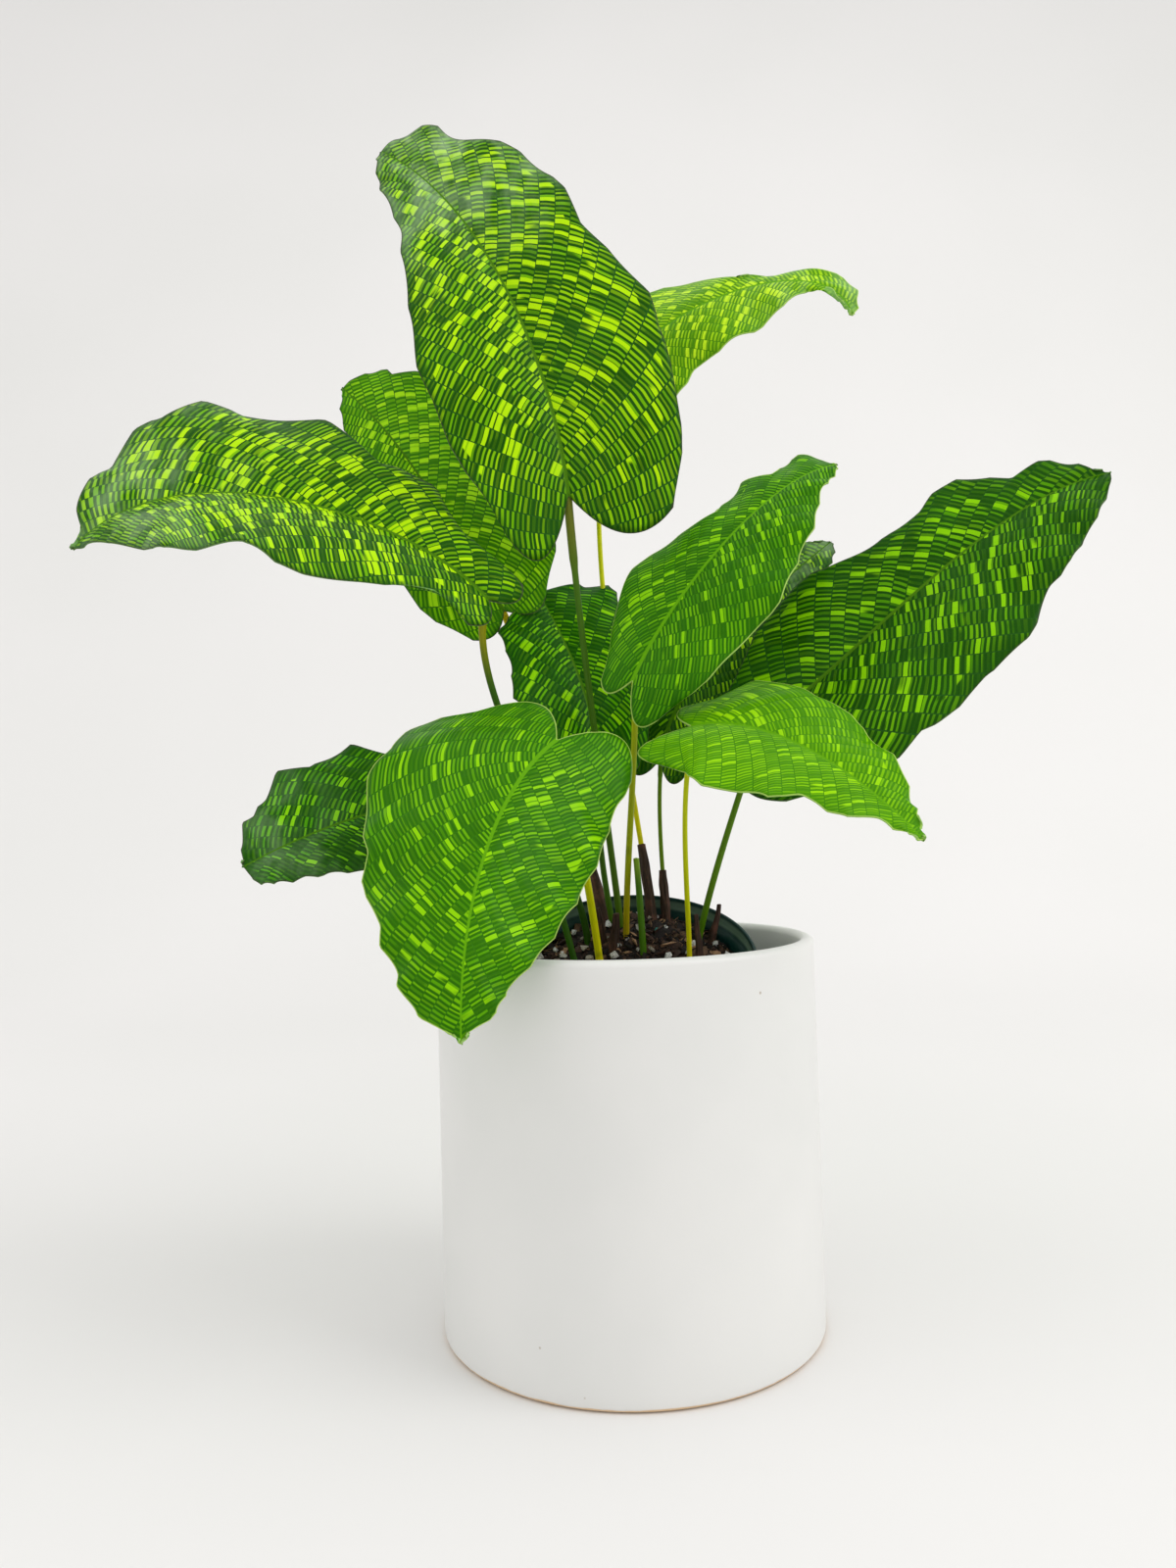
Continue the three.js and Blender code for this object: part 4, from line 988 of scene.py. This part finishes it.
def rodAlong(name, points, radiusAt, sides, rows, seed=0.0):
    travelled = lengthsAlong(points)
    total = travelled[-1]
    normals = [(points[1] - points[0]).orthogonal().normalized()]
    for i in range(1, len(points)):
        tangent = (points[min(i + 1, len(points) - 1)] - points[i - 1]).normalized()
        normals.append((normals[-1] - tangent * normals[-1].dot(tangent)).normalized())

    def shareAt(v):
        return clamp((v - rodCap) / (1 - 2 * rodCap))

    def place(u, v):
        distance = shareAt(v) * total
        i = 0
        while i < len(points) - 2 and travelled[i + 1] < distance:
            i += 1
        share = (distance - travelled[i]) / (travelled[i + 1] - travelled[i])
        centre = points[i].lerp(points[i + 1], share)
        tangent = (points[i + 1] - points[i]).normalized()
        normal = normals[i].lerp(normals[i + 1], share)
        normal = (normal - tangent * normal.dot(tangent)).normalized()
        angle = 2 * math.pi * u
        radius = 0 if min(v, 1 - v) < 0.001 else radiusAt(shareAt(v), angle)
        return centre + (normal * math.cos(angle) + tangent.cross(normal) * math.sin(angle)) * radius

    maps = {"rod": lambda u, v: (u, shareAt(v)), "length": lambda u, v: (v * total, seed)}
    return sheet(name, sides + 1, rows, place, maps, merge=0.01)


def rooted(foot, bends, end, buried=16):
    start = Vector(foot)
    deep = start - (Vector(bends[0]) - start).normalized() * buried
    return [deep, *bezier((foot, *bends, end), 60)]


# A petiole swells over a share of its length below the blade. colours are those at its foot, in its
# middle and at the blade.
petioles = {
    "top": {
        "tone": "dark", "foot": (-1, 25, 152), "bends": ((-7, 20, 214), (-15, 13, 274)), "radius": 1.4,
        "swollen": (0.16, 1.3), "colours": ((0.07, 0.15, 0.002), (0.045, 0.13, 0.001), (0.13, 0.15, 0.01)),
    },
    "left": {
        "tone": "dark", "foot": (-15, 22, 142), "bends": ((-16, 18, 187), (-66, 4, 254)), "radius": 1.45,
        "swollen": (0.08, 1.15), "colours": ((0.02, 0.07, 0.001), (0.03, 0.1, 0.001), (0.32, 0.3, 0.004)),
    },
    "back_left": {
        "tone": "pale", "foot": (-8, 35, 152), "bends": ((-16, 44, 200), (-33, 57, 251)), "radius": 1.3,
        "colours": ((0.5, 0.36, 0.004), (0.6, 0.44, 0.003), (0.72, 0.5, 0.004)),
    },
    "middle": {
        "tone": "dark", "foot": (-4, 30, 151), "bends": ((-9, 29, 177), (-11, 29, 202)), "radius": 1.3,
        "colours": ((0.06, 0.14, 0.001), (0.05, 0.14, 0.001), (0.1, 0.2, 0.002)),
    },
    "big_right": {
        "tone": "dark", "foot": (31, 20, 145), "bends": ((38, 15, 176), (49, 13, 205)), "radius": 1.35,
        "swollen": (0.12, 1.25), "colours": ((0.06, 0.16, 0.001), (0.1, 0.22, 0.001), (0.18, 0.28, 0.003)),
    },
    "centre_right": {
        "tone": "pale", "foot": (1, 19, 150), "bends": ((2, 11, 186), (7, 2, 222)), "radius": 1.3,
        "colours": ((0.42, 0.32, 0.003), (0.36, 0.42, 0.002), (0.36, 0.42, 0.003)),
    },
    "front": {
        "tone": "pale", "foot": (-10, 10, 137), "bends": ((-13, -2, 171), (-18, -17, 204)), "radius": 1.5,
        "colours": ((0.86, 0.8, 0.004), (0.74, 0.76, 0.003), (0.4, 0.55, 0.003)),
    },
    "low_right": {
        "tone": "pale", "foot": (27, 9, 139), "bends": ((27, 1, 172), (23, -9, 206)), "radius": 1.05,
        "colours": ((0.74, 0.66, 0.003), (0.62, 0.68, 0.003), (0.56, 0.66, 0.003)),
    },
    "far_left": {
        "tone": "dark", "foot": (-20, 4, 139), "bends": ((-27, 3, 171), (-34, 1, 193)), "radius": 1.3,
        "colours": ((0.02, 0.08, 0.001), (0.04, 0.14, 0.001), (0.08, 0.2, 0.002)),
    },
    "upper_right": {
        "tone": "pale", "foot": (13, 33, 153), "bends": ((6, 50, 227), (-13, 58, 302)), "radius": 1.15,
        "swollen": (0.07, 1.3), "colours": ((0.86, 0.72, 0.003), (0.66, 0.68, 0.003), (0.4, 0.54, 0.004)),
    },
    "back_right": {
        "tone": "dark", "foot": (19, 35, 153), "bends": ((18, 36, 177), (16, 38, 201)), "radius": 0.95,
        "colours": ((0.12, 0.2, 0.001), (0.13, 0.24, 0.001), (0.1, 0.22, 0.002)),
    },
}
cutStub = {
    "foot": (8, 11, 143), "bends": ((7.5, 11, 156), (7, 11, 170)), "top": (6, 11, 184), "radius": 1.4,
    "colours": ((0.05, 0.13, 0.001), (0.06, 0.17, 0.001), (0.2, 0.34, 0.02)),
}
usualSwelling = (0.1, 1.2)
stalkMarks = {
    "around": 26.0, "along": 0.05, "line": (0.01, 0.03, 0), "blotchScale": 150, "blotch": (0.09, 0.13, 0.01),
    "footEnds": (0.12, 0.45), "topBegins": (0.78, 0.97),
}


# Fine lines along a rod, drawn over its own length so that they don't slide.
def fineLines(graph, around, along, detail, roughness=0.5):
    length, seed = graph.pair("length")
    place = {"X": graph.times(graph.pair("rod")[0], around),
             "Y": graph.times(length, along), "Z": seed}
    return graph.noise(graph.node("ShaderNodeCombineXYZ", place).outputs[0], 1.0, detail, roughness)


def stalkGroup():
    inputs = {"Foot": "Color", "Middle": "Color", "Top": "Color"}
    graph, given, result = newGroup("stalk", inputs, {"Color": "Color", "Height": "Float"})
    along = graph.pair("rod")[1]
    marks = stalkMarks
    colour = graph.mix(graph.fade(along, *marks["footEnds"]), given["Foot"], given["Middle"])
    colour = graph.mix(graph.fade(along, *marks["topBegins"]), colour, given["Top"])
    fine = fineLines(graph, marks["around"], marks["along"], 3)
    line = graph.mix(0.6, colour, marks["line"])
    colour = graph.mix(graph.fade(fine, 0.35, 0.7, 0, 0.35), colour, line)
    blotch = graph.fade(graph.noise(graph.point(), marks["blotchScale"], 3), 0.55, 0.75, 0, 0.3)
    colour = graph.mix(blotch, colour, marks["blotch"])
    graph.feed(result["Color"], colour)
    graph.feed(result["Height"], fine)
    return graph


stalk = stalkGroup()


def stalkMaterial(name, colours):
    material, graph, shader = newMaterial("stalk_" + name, 0.38, 0.14)
    found = useGroup(graph, stalk, dict(zip(("Foot", "Middle", "Top"), colours)))
    paint(graph, shader, found["Color"], found["Height"], 0.3, 0.15)
    return material


def petioleRadius(petiole, at, angle):
    swollen, swell = petiole.get("swollen", usualSwelling)
    knee = 1 + (swell - 1) * ease(1 - swollen, 1 - 0.8 * swollen, at)
    foot = 1 + 0.18 * ease(0.25, 0, at)
    return petiole["radius"] * knee * foot * (1 + 0.03 * math.sin(angle * 2 + at * 9))


def stubRadius(at, angle):
    return cutStub["radius"] * (1 - 0.12 * ease(0.6, 1, at))


paths = {}
for index, (name, petiole) in enumerate(petioles.items()):
    base, across, face = ribs[name].at(1)
    top = base - face * (blade["underRib"] + petiole["radius"])
    paths[name] = rooted(petiole["foot"], petiole["bends"], top)
    radiusAt = partial(petioleRadius, petiole)
    made = rodAlong("petiole_" + name + "_piece", paths[name], radiusAt, 20, 110, index * 7.3)
    look = stalkMaterial(name, petiole["colours"])
    handOver(made, "petiole_" + petiole["tone"], "petiole_" + name, look)

stubPath = rooted(cutStub["foot"], cutStub["bends"], cutStub["top"])
cutStubPiece = rodAlong("cutStubPiece", stubPath, stubRadius, 20, 60)
handOver(cutStubPiece, "petiole_dark", "petiole_cut_stub", stalkMaterial("cut_stub", cutStub["colours"]))
report("petioles")

# Dry sheaths: wrinkled, torn at the top. They wrap the foot of three petioles, over a share of each.
drySheath = {"light": (0.07, 0.035, 0.02), "dark": (0.012, 0.007, 0.005), "warm": (0.15, 0.06, 0.035)}
sheaths = {
    "upper_right": {"share": 0.21, "wall": 0.75},
    "back_right": {"share": 0.45, "wall": 0.7},
    "back_left": {"share": 0.26, "wall": 0.7},
}
# Loose remains of old sheaths at the crown.
remains = {
    "crown_left": {"foot": (-9, 20, 145), "tip": (-11, 15, 163), "radius": 2.4},
    "crown_front": {"foot": (-5, 15, 144), "tip": (-3, 10, 161), "radius": 2.6},
    "right_front": {"foot": (31, 12, 141), "tip": (30, 8, 160), "radius": 1.8},
    "right_back": {"foot": (37, 24, 146), "tip": (41, 20, 163), "radius": 1.9},
}


def sheathMaterial():
    material, graph, shader = newMaterial("drySheath", 0.8, 0.3)
    fine = fineLines(graph, 40.0, 0.12, 4, 0.6)
    colour = graph.mix(graph.fade(fine, 0.3, 0.7), drySheath["dark"], drySheath["light"])
    warm = graph.fade(graph.noise(graph.point(), 110, 3), 0.5, 0.72, 0, 0.8)
    paint(graph, shader, graph.mix(warm, colour, drySheath["warm"]), fine, 0.7, 0.4)
    return material


def wrinkle(angle, turns, height):
    return noise.noise(Vector((math.cos(angle) * turns, math.sin(angle) * turns, height)))


def sheathRadius(inside, wall, index, at, angle):
    tear = 1 - 0.5 * ease(0.8, 1, at)
    uneven = 0.9 * wrinkle(angle, 2.2, at * 4 + 9 * index)
    return inside + 0.25 + wall * (1.3 - 0.35 * at + uneven) * tear


def remainRadius(radius, index, at, angle):
    flat = 0.75 + 0.25 * math.cos(2 * angle)
    uneven = 0.6 * wrinkle(angle, 2, at * 3 + 7 * index)
    return radius * flat * (1.1 - 0.55 * ease(0.3, 1, at)) * (1 + uneven)


def pathPart(points, share):
    total = lengthsAlong(points)[-1] * share
    part, travelled = [points[0]], 0
    for start, end in zip(points, points[1:]):
        step = (end - start).length
        if travelled + step >= total:
            return [*part, start.lerp(end, (total - travelled) / step)]
        part.append(end)
        travelled += step
    return part


sheathLook = sheathMaterial()
for index, (name, sheath) in enumerate(sheaths.items()):
    radiusAt = partial(sheathRadius, petioles[name]["radius"], sheath["wall"], index)
    path = pathPart(paths[name], sheath["share"])
    made = rodAlong("sheath_" + name + "_piece", path, radiusAt, 36, 80, index * 5.1)
    handOver(made, "dry_sheath", "sheath_" + name, sheathLook)

for index, (name, remain) in enumerate(remains.items()):
    foot, tip = Vector(remain["foot"]), Vector(remain["tip"])
    bent = foot.lerp(tip, 0.55) + Vector((0.8, -0.6, 0))
    path = bezier((foot.lerp(tip, -0.45), foot, bent, tip), 24)
    radiusAt = partial(remainRadius, remain["radius"], index)
    made = rodAlong("dry_sheath_" + name + "_piece", path, radiusAt, 32, 60, 20 + index * 3.3)
    handOver(made, "dry_sheath", "dry_sheath_" + name, sheathLook)
report("sheaths")

# Floor and backdrop: one pale sweep, in mm.
sweep = {
    "width": 9000, "front": -2600, "back": 2400, "bendsAt": 0.62, "height": 2700, "drop": 0.2,
    "dark": (0.74, 0.735, 0.72), "light": (0.77, 0.76, 0.75),
}


def sweepPoint(u, v):
    up = sweep["height"] * ease(sweep["bendsAt"], 1, v) ** 2 if v > sweep["bendsAt"] else -sweep["drop"]
    return (u - 0.5) * sweep["width"], mixed(sweep["front"], sweep["back"], v), up


def sweepMaterial():
    material, graph, shader = newMaterial("backdrop", 0.85, 0.15)
    cloud = graph.fade(graph.noise(graph.point(), 1.2, 2), 0.3, 0.7)
    graph.feed(shader["Base Color"], graph.mix(cloud, sweep["dark"], sweep["light"]))
    return material


backdrop = sheet("backdrop", 3, 60, sweepPoint)
backdrop.data.materials.append(sweepMaterial())

# Light: three softboxes and a pale surround, in metres and watts.
softboxes = {
    "key": {"place": (1.7, -0.6, 1.5), "target": (0, 0, 0.2), "size": 1.3, "power": 17},
    "fill": {"place": (-1.8, -0.4, 1.1), "target": (0, 0, 0.2), "size": 1.5, "power": 4},
    "sky": {"place": (0, 0.1, 2.2), "target": (0, 0, 0), "size": 2.2, "power": 4},
}
surround = {"colour": (1, 0.997, 0.99, 1), "strength": 0.96}
for name, box in softboxes.items():
    data = bpy.data.lights.new(name, "AREA")
    data.shape = "SQUARE"
    data.size = box["size"]
    data.energy = box["power"]
    light = bpy.data.objects.new(name, data)
    light.location = box["place"]
    towards = Vector(box["target"]) - Vector(box["place"])
    light.rotation_euler = towards.to_track_quat("-Z", "Y").to_euler()
    bpy.context.scene.collection.objects.link(light)
world = bpy.data.worlds.new("studio")
world.use_nodes = True
world.node_tree.nodes["Background"].inputs["Color"].default_value = surround["colour"]
world.node_tree.nodes["Background"].inputs["Strength"].default_value = surround["strength"]
bpy.context.scene.world = world

# The camera, with its turn in degrees.
view = {"lens": 25.4853, "place": (0, -0.45611, 0.20002), "turn": (91.8915, 1.5576, 1.6844)}
cameraData = bpy.data.cameras.new("camera")
cameraData.lens = view["lens"]
cameraData.sensor_width = 36
camera = bpy.data.objects.new("camera", cameraData)
camera.location = view["place"]
camera.rotation_euler = [math.radians(angle) for angle in view["turn"]]
bpy.context.scene.collection.objects.link(camera)
bpy.context.scene.camera = camera

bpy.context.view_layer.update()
report("scene")
